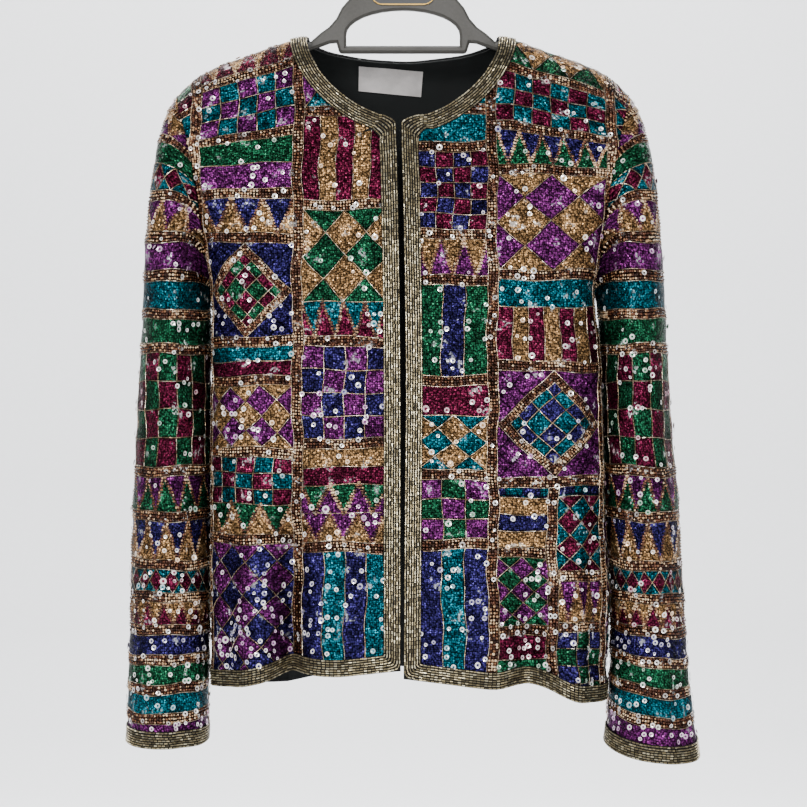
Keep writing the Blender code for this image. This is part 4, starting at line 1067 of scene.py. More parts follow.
def sequin_cloth():
    """Net worked in rows of flat 1.9 mm sequins, metal-coated plastic: each lies a little differently, and
    each is painted lighter or darker at random as a painted sparkle, so a few look lit and their neighbours
    stay dark."""
    made, tree = new_material("sequin_cloth")
    cloth = put(tree, "UVMap", uv_map="cloth")
    mm = put(tree, "VectorMath", {0: cloth.outputs[0], "Scale": 1000.0}, operation="SCALE")
    cells = put(
        tree, "TexVoronoi",
        {"Vector": mm.outputs[0], "Scale": 1 / 1.9, "Randomness": 0.6}, voronoi_dimensions="2D",
    )
    local = put(
        tree, "VectorMath", {0: mm.outputs[0], 1: cells.outputs["Position"]}, operation="SUBTRACT",
    )
    lean = put(
        tree, "VectorMath", {0: cells.outputs["Color"], 1: (0.5, 0.5, 0.5)}, operation="SUBTRACT",
    )
    tilt = put(tree, "VectorMath", {0: local.outputs[0], 1: lean.outputs[0]}, operation="DOT_PRODUCT")
    rim = put(
        tree, "MapRange",
        {"Value": cells.outputs["Distance"], "From Min": 0.34, "From Max": 0.60},
    )
    height = put(
        tree, "Math", {0: tilt.outputs["Value"], 1: 0.75}, operation="MULTIPLY",
    )
    sunk = put(
        tree, "Math", {0: rim.outputs[0], 1: -0.35, 2: height.outputs[0]}, operation="MULTIPLY_ADD",
    )
    bump = put(tree, "Bump", {"Height": sunk.outputs[0], "Distance": 0.001, "Strength": 1.0})

    pattern = put(tree, "UVMap", uv_map="pattern")
    first = put(tree, "VectorMath", {0: pattern.outputs[0]}, operation="FLOOR")
    parts = put(tree, "SeparateXYZ", {0: first.outputs[0]})
    total = put(tree, "Math", {0: parts.outputs[0], 1: parts.outputs[1]}, operation="ADD")
    odd = put(tree, "Math", {0: total.outputs[0], 1: 2.0}, operation="FLOORED_MODULO")
    colour_a = put(tree, "Attribute", attribute_name="colour_a")
    colour_b = put(tree, "Attribute", attribute_name="colour_b")
    colour = put(
        tree, "Mix", {0: odd.outputs[0], 6: colour_a.outputs[0], 7: colour_b.outputs[0]},
        data_type="RGBA",
    )
    # The sequin colour is darkened beside each bead line: to 0.3 of itself within 0.5 mm, easing back by
    # 1.5 mm.
    size = put(tree, "Attribute", attribute_name="cell")
    moved = put(tree, "VectorMath", {0: pattern.outputs[0], 1: (0.5, 0.5, 0.5)}, operation="ADD")
    turn = put(tree, "VectorMath", {0: moved.outputs[0]}, operation="FRACTION")
    middle = put(tree, "VectorMath", {0: turn.outputs[0], 1: (0.5, 0.5, 0.5)}, operation="SUBTRACT")
    away = put(tree, "VectorMath", {0: middle.outputs[0]}, operation="ABSOLUTE")
    off = put(tree, "VectorMath", {0: away.outputs[0], 1: size.outputs[1]}, operation="MULTIPLY")
    offs = put(tree, "SeparateXYZ", {0: off.outputs[0]})
    nearest = put(tree, "Math", {0: offs.outputs[0], 1: offs.outputs[1]}, operation="MINIMUM")
    edge = put(
        tree, "MapRange",
        {"Value": nearest.outputs[0], "From Min": 0.5, "From Max": 1.5, "To Min": 0.30, "To Max": 1.0},
    )
    # Each field of the pattern was worked from its own string of sequins, a little paler or deeper.
    field = put(tree, "VectorMath", {0: size.outputs[1], 1: (0.0, 0.0, 1.0)}, operation="MULTIPLY")
    batch = put(tree, "VectorMath", {0: field.outputs[0], 1: first.outputs[0]}, operation="ADD")
    string = put(tree, "TexWhiteNoise", {"Vector": batch.outputs[0]}, noise_dimensions="3D")
    deeper = put(tree, "MapRange", {"Value": string.outputs[0], "To Min": 0.72, "To Max": 1.25})
    each = put(tree, "SeparateXYZ", {0: cells.outputs["Color"]})
    # Painted light: patches about 15 mm across are painted from 0.52 to 1.2 of the colour, as if facing the
    # lamps.
    wide = put(tree, "TexNoise", {"Vector": mm.outputs[0], "Scale": 1 / 15.0, "Detail": 1.5})
    painted_light_patches = put(
        tree, "MapRange",
        {"Value": wide.outputs[0], "From Min": 0.36, "From Max": 0.60, "To Min": 0.52, "To Max": 1.20},
    )
    # Painted highlight: where that noise is high, groups of sequins are painted brighter, some near white.
    flare = put(
        tree, "MapRange",
        {"Value": wide.outputs[0], "From Min": 0.62, "From Max": 0.67},
    )
    # Painted sparkle: each sequin's colour is scaled by its own random number, 0.42 to 2.2, mostly low.
    value = put(tree, "Math", {0: each.outputs[2], 1: 2.2}, operation="POWER")
    spread = put(tree, "MapRange", {"Value": value.outputs[0], "To Min": 0.42, "To Max": 2.2})
    brighter = put(
        tree, "Math", {0: flare.outputs[0], 1: 0.7, 2: 1.0}, operation="MULTIPLY_ADD",
    )
    tones = [spread, painted_light_patches, deeper, edge, brighter]
    gap = put(
        tree, "MapRange",
        {"Value": rim.outputs[0], "To Min": 1.0, "To Max": 0.12},
    )
    total = gap
    for one in tones:
        total = put(tree, "Math", {0: total.outputs[0], 1: one.outputs[0]}, operation="MULTIPLY")
    final = put(
        tree, "VectorMath", {0: colour.outputs[2], "Scale": total.outputs[0]}, operation="SCALE",
    )
    turned = put(
        tree, "MapRange",
        {"Value": each.outputs[0], "From Min": 0.58, "From Max": 0.72},
    )
    lit = put(tree, "Math", {0: flare.outputs[0], 1: turned.outputs[0]}, operation="MULTIPLY")
    painted_glint_share = put(tree, "Math", {0: lit.outputs[0], 1: 0.80}, operation="MULTIPLY")
    glint = put(
        tree, "Mix", {0: 0.45, 6: colour.outputs[2], 7: (*linear("#f6fafa"), 1)}, data_type="RGBA",
    )
    pale = put(
        tree, "Mix",
        {0: painted_glint_share.outputs[0], 6: final.outputs[0], 7: glint.outputs[2]}, data_type="RGBA",
    )
    shader = put(
        tree, "BsdfPrincipled",
        {"Base Color": pale.outputs[2], "Metallic": 0.75, "Roughness": 0.34, "Normal": bump.outputs[0],
         "Specular IOR Level": 0.3, "Specular Tint": (0.25, 0.25, 0.25, 1)},
    )
    finish_material(tree, shader)
    return made


def tinted(name, metallic, roughness, film=0.0):
    """Beads and loose sequins: the colour of each is kept on it, with a slight unevenness of its face."""
    made, tree = new_material(name)
    tint = put(tree, "Attribute", attribute_name="tint")
    place = put(tree, "TexCoord")
    grain = put(tree, "TexNoise", {"Vector": place.outputs["Object"], "Scale": 900.0, "Detail": 1.0})
    bump = put(tree, "Bump", {"Height": grain.outputs[0], "Distance": 0.0002, "Strength": 0.5})
    shader = put(
        tree, "BsdfPrincipled",
        {
            "Base Color": tint.outputs[0], "Metallic": metallic, "Roughness": roughness,
            "Normal": bump.outputs[0], "Thin Film Thickness": film, "Specular Tint": (0.5, 0.5, 0.5, 1),
        },
    )
    finish_material(tree, shader)
    return made


# A full turn in radians, rounded; the scale of the weaves was set with it.
FULL_TURN = 6.2832


def woven(name, colour, thread_mm, roughness, sheen=0.0):
    """Woven cloth: threads both ways, at the given spacing, from the piece's own cloth map."""
    made, tree = new_material(name)
    cloth = put(tree, "UVMap", uv_map="cloth")
    bands = np.pi * 1000 / thread_mm / FULL_TURN
    sets = [
        put(
            tree, "TexWave", {"Vector": cloth.outputs[0], "Scale": bands, "Distortion": 0.4},
            bands_direction=way,
        )
        for way in ("X", "Y")
    ]
    both = put(tree, "Math", {k: one.outputs["Fac"] for k, one in enumerate(sets)}, operation="MULTIPLY")
    bump = put(tree, "Bump", {"Height": both.outputs[0], "Distance": 0.0003, "Strength": 0.6})
    cloud = put(tree, "TexNoise", {"Vector": cloth.outputs[0], "Scale": 60.0, "Detail": 3.0})
    tone = put(
        tree, "MapRange",
        {"Value": cloud.outputs[0], "From Min": 0.3, "From Max": 0.7, "To Min": 0.8, "To Max": 1.15},
    )
    thread = put(
        tree, "MapRange",
        {"Value": both.outputs[0], "To Min": 0.75, "To Max": 1.1},
    )
    value = put(tree, "Math", {0: tone.outputs[0], 1: thread.outputs[0]}, operation="MULTIPLY")
    shade = put(
        tree, "VectorMath", {0: linear(colour), "Scale": value.outputs[0]}, operation="SCALE",
    )
    shader = put(
        tree, "BsdfPrincipled",
        {
            "Base Color": shade.outputs[0], "Roughness": roughness, "Normal": bump.outputs[0],
            "Sheen Weight": sheen, "Specular IOR Level": 0.25,
        },
    )
    finish_material(tree, shader)
    return made


def solid(name, colour, metallic, roughness, speck, grain_mm=0.6):
    """A hard finish: its colour and roughness vary with a fine grain."""
    made, tree = new_material(name)
    place = put(tree, "TexCoord")
    grain = put(
        tree, "TexNoise",
        {"Vector": place.outputs["Object"], "Scale": 1000 / grain_mm / 4, "Detail": 3.0},
    )
    broad = put(tree, "TexNoise", {"Vector": place.outputs["Object"], "Scale": 35.0, "Detail": 2.0})
    tone = put(
        tree, "MapRange",
        {
            "Value": grain.outputs[0], "From Min": 0.3, "From Max": 0.7,
            "To Min": 1 - speck, "To Max": 1 + speck,
        },
    )
    shade = put(
        tree, "VectorMath", {0: linear(colour), "Scale": tone.outputs[0]}, operation="SCALE",
    )
    rough = put(
        tree, "MapRange",
        {
            "Value": broad.outputs[0], "From Min": 0.3, "From Max": 0.7,
            "To Min": roughness - 0.06, "To Max": roughness + 0.06,
        },
    )
    bump = put(tree, "Bump", {"Height": grain.outputs[0], "Distance": 0.0001, "Strength": 0.5})
    shader = put(
        tree, "BsdfPrincipled",
        {
            "Base Color": shade.outputs[0], "Metallic": metallic, "Roughness": rough.outputs[0],
            "Normal": bump.outputs[0],
        },
    )
    finish_material(tree, shader)
    return made


def rimmed(name, field, rim):
    """Dark glossy enamel poured in a stamped gilt plate with round ends: its rim stays bare metal."""
    made, tree = new_material(name)
    place = put(tree, "TexCoord")
    shifted = put(
        tree, "VectorMath", {0: place.outputs["Object"], 1: (0, 0, -BADGE_MID)}, operation="ADD",
    )
    parts = put(tree, "SeparateXYZ", {0: shifted.outputs[0]})
    out = put(tree, "Math", {0: parts.outputs[0]}, operation="ABSOLUTE")
    past = put(tree, "Math", {0: out.outputs[0], 1: BADGE_SIDE}, operation="SUBTRACT")
    over = put(tree, "Math", {0: past.outputs[0], 1: 0.0}, operation="MAXIMUM")
    flat = put(tree, "CombineXYZ", {0: over.outputs[0], 1: parts.outputs[2]})
    away = put(tree, "VectorMath", {0: flat.outputs[0]}, operation="LENGTH")
    bare = put(
        tree, "MapRange",
        {"Value": away.outputs["Value"], "From Min": BADGE_FIELD, "From Max": BADGE_FIELD + 0.0002},
    )
    tone = put(
        tree, "Mix",
        {0: bare.outputs[0], 6: (*linear(field), 1), 7: (*linear(rim), 1)}, data_type="RGBA",
    )
    shader = put(
        tree, "BsdfPrincipled",
        {"Base Color": tone.outputs[2], "Metallic": bare.outputs[0], "Roughness": 0.28},
    )
    finish_material(tree, shader)
    return made


# The badge's plate: middle level, half length of its straight part, radius of its ends, and of its dark
# field there, which a gilt rim goes round.
BADGE_MID = -0.0912
BADGE_SIDE = 0.0188
BADGE_ROUND = 0.0100
BADGE_FIELD = BADGE_ROUND - 0.0013

SEQUIN_CLOTH = sequin_cloth()
# Cup sequins: stamped plastic discs with a thin clear coating, which gives them a pearly film of colour.
RING_SEQUIN = tinted("pearl_ring_sequin", 0.35, 0.16, 420.0)
# Seed beads: short cuts of drawn glass tube, tumbled round in the fire, with a soft bright point each.
SEED_BEAD = tinted("glass_seed_bead", 0.25, 0.22)
# Bugle beads: longer cuts of glass tube, silver-lined and tinted, which shine as a line.
BUGLE_BEAD = tinted("gilt_bugle_bead", 0.75, 0.30)
# Lining: near-black satin, woven with long floats, which shows only a low, wide shine.
LINING = woven("lining_satin", "#060b0b", 0.5, 0.60)
# Edge tape: plain-woven black tape, dull, seen as dark lines between the rows of beads.
TAPE = woven("edge_tape", "#0d0b09", 0.7, 0.75)
# Label: pale woven satin with a faint bloom of loose fibre.
LABEL = woven("label_satin", "#c9c4c2", 0.5, 0.55, 0.2)
# Hanger: stiff grey board with a fine even grain, matt.
BOARD = solid("hanger_grey_board", "#3f3d39", 0.0, 0.62, 0.10)
# Hook: bent wire, nickel-plated, bright and slightly uneven.
HOOK_METAL = solid("hook_nickel", "#b9b6b0", 1.0, 0.24, 0.04)
BADGE = rimmed("badge_enamel", "#17181b", "#b08d4a")


def link(name, mesh, *materials):
    made = bpy.data.objects.new(name, mesh)
    for one in materials:
        mesh.materials.append(one)
    bpy.context.collection.objects.link(made)
    return made


def keep_map(mesh, title, value):
    layer = mesh.uv_layers.new(name=title)
    layer.data.foreach_set("uv", value.astype(np.float32).ravel())


def keep_colour(mesh, title, value):
    layer = mesh.attributes.new(title, "FLOAT_COLOR", "CORNER")
    full = np.concatenate([value, np.ones((len(value), 1))], axis=1)
    layer.data.foreach_set("color", full.astype(np.float32).ravel())


def only(piece):
    bpy.ops.object.select_all(action="DESELECT")
    piece.select_set(True)
    bpy.context.view_layer.objects.active = piece


def walled(piece, thick, inside):
    """Joins points that fell together, then gives a one-sided piece its wall, with the material of its
    inner side."""
    mesh = piece.data
    work = bmesh.new()
    work.from_mesh(mesh)
    bmesh.ops.remove_doubles(work, verts=work.verts, dist=MERGE)
    work.to_mesh(mesh)
    work.free()
    only(piece)
    wall = piece.modifiers.new("wall", "SOLIDIFY")
    wall.thickness = thick
    wall.offset = -1.0
    wall.material_offset = inside
    bpy.ops.object.modifier_apply(modifier=wall.name)
    mesh.polygons.foreach_set("use_smooth", np.ones(len(mesh.polygons), bool))


def cut_line(work, low, high, point, normal):
    """Cuts the flat drawing along a straight line, where it passes through faces in a box."""
    faces = []
    for face in work.faces:
        centre = face.calc_center_median()
        if low[0] < centre.x < high[0] and low[1] < centre.y < high[1]:
            faces.append(face)
    if not faces:
        return
    parts = set(faces)
    for face in faces:
        parts.update(face.edges)
        parts.update(face.verts)
    bmesh.ops.bisect_plane(work, geom=list(parts), dist=2e-4, plane_co=point, plane_no=normal)


def cloth_shell(name, panel, x, y, trim, patches):
    """A panel's shell: its drawing is cut along the patches' edges, laid on the jacket and given a wall."""
    rows, columns = x.shape
    work = bmesh.new()
    mark = work.faces.layers.int.new("trim")
    verts = [[work.verts.new((x[j, i], y[j, i], 0)) for i in range(columns)] for j in range(rows)]
    for j in range(rows - 1):
        for i in range(columns - 1):
            corners = (verts[j][i], verts[j][i + 1], verts[j + 1][i + 1], verts[j + 1][i])
            work.faces.new(corners)[mark] = int(trim[j, i])
    seen = set()
    for one in patches:
        x0, x1, y0, y1 = one["box"]
        for at, is_row in ((x0, False), (x1, False), (y0, True), (y1, True)):
            key = (round(at, 5), is_row, round(x0, 5) if is_row else 0)
            if key in seen:
                continue
            seen.add(key)
            if is_row:
                cut_line(work, (x0 - 0.006, y0 - 0.02), (x1 + 0.006, y1 + 0.02), (0, at, 0), (0, 1, 0))
            else:
                cut_line(work, (at - 0.02, -1), (at + 0.02, 1), (at, 0, 0), (1, 0, 0))
        if one["kind"] == "framed":
            centre = ((x0 + x1) / 2, (y0 + y1) / 2)
            half = ((x1 - x0) / 2, (y1 - y0) / 2)
            for share in (FRAME_IN, 1.0):
                for side_x, side_y in SIDES:
                    point = (centre[0] + side_x * half[0] * share, centre[1], 0)
                    normal = (side_x / half[0], side_y / half[1], 0)
                    low = (min(centre[0], point[0]), centre[1] + min(0, side_y) * half[1])
                    high = (max(centre[0], point[0]), centre[1] + max(0, side_y) * half[1])
                    cut_line(work, low, high, point, normal)
    work.verts.index_update()
    flat = np.array([v.co[:2] for v in work.verts])
    faces = [[v.index for v in f.verts] for f in work.faces]
    trimmed = np.array([f[mark] for f in work.faces])
    centres = np.array([f.calc_center_median()[:2] for f in work.faces])
    work.free()
    points, normals = panel.place(flat[:, 0], flat[:, 1])
    a, b, c = (points[faces[0][k]] for k in range(3))
    if np.dot(np.cross(b - a, c - b), normals[faces[0][0]]) < 0:
        faces = [f[::-1] for f in faces]
    mesh = bpy.data.meshes.new(name)
    mesh.from_pydata([tuple(p) for p in points], [], faces)
    sizes = np.array([len(f) for f in faces])
    corner = np.concatenate(faces)
    of_face = np.repeat(np.arange(len(faces)), sizes)
    number = patch_numbers(patches, centres[:, 0], centres[:, 1])
    wear_a, wear_b = np.zeros((len(faces), 3)), np.zeros((len(faces), 3))
    pattern = np.zeros((len(corner), 2))
    cells = np.full((len(faces), 3), 1000.0)
    for k, one in enumerate(patches):
        mine = number == k
        wear_a[mine], wear_b[mine] = colours_of(one, centres[mine, 0], centres[mine, 1])
        these = mine[of_face]
        p, q = pattern_at(one, flat[corner[these], 0], flat[corner[these], 1])
        pattern[these] = np.stack([p, q], -1)
        cells[mine, :2] = cell_size(one)
        cells[mine, 2] = k
    wear_a[trimmed == 1] = wear_b[trimmed == 1] = linear(COLOURS["black"])
    keep_map(mesh, "cloth", flat[corner])
    keep_map(mesh, "pattern", pattern)
    keep_colour(mesh, "colour_a", wear_a[of_face])
    keep_colour(mesh, "colour_b", wear_b[of_face])
    layer = mesh.attributes.new("cell", "FLOAT_VECTOR", "CORNER")
    layer.data.foreach_set("vector", cells[of_face].astype(np.float32).ravel())
    piece = link(name, mesh, SEQUIN_CLOTH, LINING)
    walled(piece, WALL, 1)
    return piece


def template(build, hearted=False):
    """A small thing modelled once: its points, its triangles, and which of these are its heart."""
    bpy.ops.object.select_all(action="DESELECT")
    build()
    made = bpy.context.active_object
    work = bmesh.new()
    work.from_mesh(made.data)
    for face in work.faces:
        face.material_index = 0
    if hearted:
        min(work.faces, key=lambda f: max(v.co.xy.length for v in f.verts)).material_index = 1
    bmesh.ops.triangulate(work, faces=work.faces)
    work.verts.index_update()
    points = np.array([v.co[:] for v in work.verts])
    faces = np.array([[v.index for v in f.verts] for f in work.faces])
    heart = np.array([f.material_index for f in work.faces], bool)
    work.free()
    mesh = made.data
    bpy.data.objects.remove(made)
    bpy.data.meshes.remove(mesh)
    return points, faces, heart


def drop_under(at):
    """Takes away what would lie in the cloth."""
    bpy.ops.object.mode_set(mode="EDIT")
    bpy.ops.mesh.select_all(action="SELECT")
    bpy.ops.mesh.bisect(plane_co=(0, 0, at), plane_no=(0, 0, 1), clear_inner=True)
    bpy.ops.object.mode_set(mode="OBJECT")


def build_seed():
    """A seed bead from above: a low dome of seven sides, shaded round."""
    bpy.ops.mesh.primitive_cone_add(vertices=7, radius1=1.0, radius2=0.0, depth=1.2, location=(0, 0, 0.4))
    bpy.ops.object.transform_apply(location=True, rotation=False, scale=False)
    drop_under(-0.18)


def build_bugle():
    """A glass tube one unit long along x, cut through under its middle."""
    turned = (0, np.pi / 2, 0)
    bpy.ops.mesh.primitive_cylinder_add(vertices=6, radius=1.0, depth=1.0, rotation=turned)
    bpy.ops.object.transform_apply(location=False, rotation=True, scale=False)
    drop_under(0.02)


def build_ring():
    """A cupped sequin with a wide flat rim; its middle shows the colour of the field under it."""
    bpy.ops.mesh.primitive_circle_add(vertices=8, radius=1.0, fill_type="NGON", location=(0, 0, 0.30))
    bpy.ops.object.transform_apply(location=True, rotation=False, scale=False)
    bpy.ops.object.mode_set(mode="EDIT")
    bpy.ops.mesh.select_all(action="SELECT")
    bpy.ops.mesh.inset(thickness=0.50, depth=-0.10)
    bpy.ops.object.mode_set(mode="OBJECT")


KINDS = {
    "seed": (template(build_seed), 0),
    "bugle": (template(build_bugle), 1),
    "ring": (template(build_ring, True), 2),
}


class Strewn:
    """Many small things on one panel, gathered and then made one mesh."""

    def __init__(self, seed):
        self.draw = np.random.default_rng(seed)
        self.points, self.faces, self.tints, self.finish = [], [], [], []
        self.total = 0

    def add(self, kind, points, normals, ways, size, tint, lean=0.0, lift=0.0, heart=None):
        """size is (along, across, high) and may differ for each thing; lean is in radians."""
        if not len(points):
            return
        (shape, faces, middle), finish = KINDS[kind]
        normals = unit(normals + lean * self.draw.normal(size=normals.shape))
        ways = unit(ways - normals * (ways * normals).sum(-1, keepdims=True))
        across = np.cross(normals, ways)
        size = np.broadcast_to(size, (len(points), 3))
        placed = (
            points[:, None]
            + normals[:, None] * lift
            + ways[:, None] * (shape[None, :, :1] * size[:, None, :1])
            + across[:, None] * (shape[None, :, 1:2] * size[:, None, 1:2])
            + normals[:, None] * (shape[None, :, 2:] * size[:, None, 2:])
        )
        start = self.total + np.arange(len(points))[:, None, None] * len(shape)
        self.points.append(placed.reshape(-1, 3))
        self.faces.append((faces[None] + start).reshape(-1, 3))
        colours = np.repeat(tint[:, None], len(faces), axis=1)
        if heart is not None:
            colours[:, middle] = heart[:, None]
        self.tints.append(colours.reshape(-1, 3))
        self.finish.append(np.full(len(points) * len(faces), finish))
        self.total += len(points) * len(shape)

    def join(self, name):
        points = np.concatenate(self.points).astype(np.float32)
        faces = np.concatenate(self.faces).astype(np.int32)
        tints = np.concatenate(self.tints)
        mesh = bpy.data.meshes.new(name)
        mesh.vertices.add(len(points))
        mesh.vertices.foreach_set("co", points.ravel())
        mesh.loops.add(faces.size)
        mesh.loops.foreach_set("vertex_index", faces.ravel())
        mesh.polygons.add(len(faces))
        mesh.polygons.foreach_set("loop_start", np.arange(0, faces.size, 3, dtype=np.int32))
        mesh.polygons.foreach_set("material_index", np.concatenate(self.finish).astype(np.int32))
        keep_colour(mesh, "tint", np.repeat(tints, 3, axis=0))
        mesh.update(calc_edges=True)
        piece = link(name, mesh, SEED_BEAD, BUGLE_BEAD, RING_SEQUIN)
        mesh.validate()
        only(piece)
        bpy.ops.object.shade_smooth_by_angle(angle=np.radians(50))
        return piece


def run_along(ends, step):
    """Points and ways at even steps along straight lines of the drawing: rows of x, y, dx, dy."""
    rows = [np.zeros((0, 4))]
    for x0, y0, x1, y1 in ends:
        long = np.hypot(x1 - x0, y1 - y0)
        if long < step * 0.5:
            continue
        count = max(int(round(long / step)), 1)
        t = (np.arange(count) + 0.5) / count
        way = np.array([x1 - x0, y1 - y0]) / long
        rows.append(np.column_stack([
            x0 + (x1 - x0) * t, y0 + (y1 - y0) * t, np.full(count, way[0]), np.full(count, way[1]),
        ]))
    return np.concatenate(rows)


def pattern_lines(one):
    """The thin lines inside a patch, as ends in the drawing."""
    x0, x1, y0, y1 = one["box"]
    nx, ny = one["nx"], one["ny"]
    lines = []
    if one["kind"] in ("checks", "bars"):
        lines += [(a, 0, a, ny) for a in range(1, nx)]
    if one["kind"] in ("checks", "stripes"):
        lines += [(0, b, nx, b) for b in range(1, ny)]
    if one["kind"] in ("lozenges", "framed", "zigzag"):
        for k in range(0, int(np.ceil(nx + ny)) + 1):
            lines.append((max(0, k - ny), min(k, ny), min(nx, k), max(0, k - nx)))
        for k in range(-int(np.ceil(ny)), nx + 1):
            lines.append((max(0, k), max(0, -k), min(nx, k + ny), min(ny, nx - k)))
    wide, high = (x1 - x0) / nx, (y1 - y0) / ny
    return [(x0 + a * wide, y0 + b * high, x0 + c * wide, y0 + d * high) for a, b, c, d in lines]


def place_along(panel, rows):
    """Keeps what lies on the free part of a panel, and gives points, normals and ways on the jacket."""
    rows = rows[panel.free(rows[:, 0], rows[:, 1])]
    points, normals = panel.place(rows[:, 0], rows[:, 1])
    step = rows[:, 2:].T * WAY_STEP
    ahead, _ = panel.place(rows[:, 0] + step[0], rows[:, 1] + step[1])
    behind, _ = panel.place(rows[:, 0] - step[0], rows[:, 1] - step[1])
    return rows, points, normals, unit(ahead - behind)


# Colours of the beads: the thin gilt lines, the bands with their shares, plain and in cream runs, the edge.
GILT = np.array([linear(one) for one in ("#c7ae94", "#a68c6c", "#ded0bc", "#8a7058")])
BAND_BEADS = np.array(
    [linear(one) for one in ("#4b2b1d", "#6b402b", "#c49a72", "#eccba4", "#2f1a13", "#8d6142")]
)
EDGE_BEADS = np.array([linear(one) for one in ("#b3a582", "#9a8c6a", "#cfc4a4", "#7d7258")])
BAND_SHARES = (0.30, 0.22, 0.13, 0.05, 0.16, 0.14)
CREAM_SHARES = (0.06, 0.06, 0.34, 0.42, 0.02, 0.10)

# How far apart beads and loose sequins are sewn and how big they are, in metres: a bugle by its length and
# its half sizes across, a ring sequin or seed bead by its radius. Rows of a band are shares of its width.
# A cream run and a ring cluster are the squares in which chance picks beads or gathers sequins, and the
# way step is how far each side of a bead the cloth is read for the bead's direction.
BAND_PITCH = 0.0027
BAND_ROWS = (0.2, 0.5, 0.8)
ZIGZAG_ROWS = (-0.0026, 0.0, 0.0026)
LINE_PITCH = 0.0034
RING_PITCH = 0.0068
SEED_SIZE = 0.00112
LINE_BUGLE = (0.0030, 0.00038, 0.00042)
EDGE_BUGLE = (0.0028, 0.00064)
RING_SIZE = 0.0022
CREAM_RUN = 0.021
RING_CLUSTER = 0.019
WAY_STEP = 0.0008


def chance_at(x, y, cell, salt):
    """One number from 0 to 1 for each square cell of the drawing, the same in every run."""
    key = np.floor(x / cell) * 127.1 + np.floor(y / cell) * 311.7 + salt
    return np.modf(np.abs(np.sin(key) * 43758.5453))[0]


def rows_of_beads(panel, strewn, ends, reach):
    rows = run_along(ends, BAND_PITCH)
    rows[:, :2] += strewn.draw.normal(size=(len(rows), 2)) * 0.00018
    rows, points, normals, ways = place_along(panel, rows)
    size = SEED_SIZE * (1 + 0.15 * strewn.draw.normal(size=(len(points), 1)))
    size = size * np.array([[1.0, 1.0, 0.85 * reach]])
    tint = BAND_BEADS[strewn.draw.choice(len(BAND_BEADS), len(points), p=BAND_SHARES)]
    cream = BAND_BEADS[strewn.draw.choice(len(BAND_BEADS), len(points), p=CREAM_SHARES)]
    run = chance_at(rows[:, 0], rows[:, 1], CREAM_RUN, 3.0) > 0.76
    tint = np.where(run[:, None], cream, tint) * 0.68
    strewn.add("seed", points, normals, ways, size, tint)


def beadwork(name, panel, patches, seed, low, high):
    """The raised work of a panel: bead bands, thin gilt lines and loose ring sequins."""
    strewn = Strewn(seed)
    bands, borders, inner, zigzags = [], set(), [], []
    for one in patches:
        x0, x1, y0, y1 = one["box"]
        if one["kind"] == "band":
            tall = y1 - y0 > x1 - x0
            for share in BAND_ROWS:
                if tall:
                    at = x0 + (x1 - x0) * share
                    bands.append((at, y0, at, y1))
                else:
                    at = y0 + (y1 - y0) * share
                    bands.append((x0, at, x1, at))
        ends = pattern_lines(one)
        if one["kind"] == "zigzag":
            zigzags += ends
        elif one["kind"] == "framed":
            rows = run_along(ends, LINE_PITCH)
            inner.append(rows[frame_share(one, rows[:, 0], rows[:, 1]) < FRAME_IN])
            for share in (FRAME_IN, 1.0):
                inner += [run_along([side], LINE_PITCH) for side in frame_sides(one, share)]
            for share in FRAME_ROWS:
                bands += frame_sides(one, share)
        else:
            inner.append(run_along(ends, LINE_PITCH))
        for line in ((x0, y0, x1, y0), (x0, y1, x1, y1), (x0, y0, x0, y1), (x1, y0, x1, y1)):
            borders.add(tuple(round(v, 5) for v in line))
    rows_of_beads(panel, strewn, bands, 1.0)
    shifted = [(a, b + shift, c, d + shift) for a, b, c, d in zigzags for shift in ZIGZAG_ROWS]
    rows_of_beads(panel, strewn, shifted, 0.9)
    lines = np.concatenate(inner + [run_along(sorted(borders), LINE_PITCH)])
    lines = lines[(lines[:, 1] > low) & (lines[:, 1] < high)]
    lines, points, normals, ways = place_along(panel, lines)
    tint = GILT[strewn.draw.integers(0, len(GILT), len(points))]
    tint = tint * strewn.draw.uniform(0.35, 1.1, size=(len(points), 1))
    strewn.add("bugle", points, normals, ways, LINE_BUGLE, tint * 0.8, 0.05, 0.0002)
    beads = strewn.join("beads_" + name)

    strewn = Strewn(seed + 100)
    grid_x, grid_y = np.meshgrid(
        np.arange(patches[0]["box"][0] - 0.01, patches[-1]["box"][1] + 0.01, RING_PITCH),
        np.arange(low, high, RING_PITCH),
    )
    spread = strewn.draw.uniform(-0.30, 0.30, size=(grid_x.size, 2)) * RING_PITCH
    x, y = grid_x.ravel() + spread[:, 0], grid_y.ravel() + spread[:, 1]
    share = (y - low) / (high - low)
    chance = 0.075 + 0.09 * share + 0.24 * ease((share - 0.72) / 0.2)
    gathered = 0.45 + 1.5 * chance_at(x, y, RING_CLUSTER, 1.0) ** 2
    keep = strewn.draw.random(len(x)) < chance * gathered
    x, y = x[keep], y[keep]
    rows = np.column_stack([x, y, np.ones(len(x)), np.zeros(len(x))])
    rows, points, normals, ways = place_along(panel, rows)
    number = patch_numbers(patches, rows[:, 0], rows[:, 1])
    tint = np.zeros((len(rows), 3))
    for k, one in enumerate(patches):
        mine = number == k
        a, b = colours_of(one, rows[mine, 0], rows[mine, 1])
        p, q = pattern_at(one, rows[mine, 0], rows[mine, 1])
        odd = (np.floor(p) + np.floor(q)) % 2 == 1
        tint[mine] = np.where(odd[:, None], b, a)
    # Ring sequins are painted pale: the field's colour three times lighter, mixed towards near-white, in
    # part their pearly colour and in part a painted highlight, as if each caught the lamps.
    pale = np.array(linear("#fbf6f2"))
    mix = strewn.draw.choice((0.92, 0.75, 0.40), size=(len(rows), 1), p=(0.40, 0.30, 0.30))
    bright = tint * 3.0 + 0.03
    heart = tint * 1.3 + 0.01
    tint = bright * (1 - mix) + pale * mix
    size = RING_SIZE * (1 + 0.15 * strewn.draw.normal(size=(len(points), 1))) * np.ones((1, 3))
    strewn.add("ring", points, normals, ways, size, tint, 0.13, 0.0006, heart)
    return beads, strewn.join("sequins_" + name)


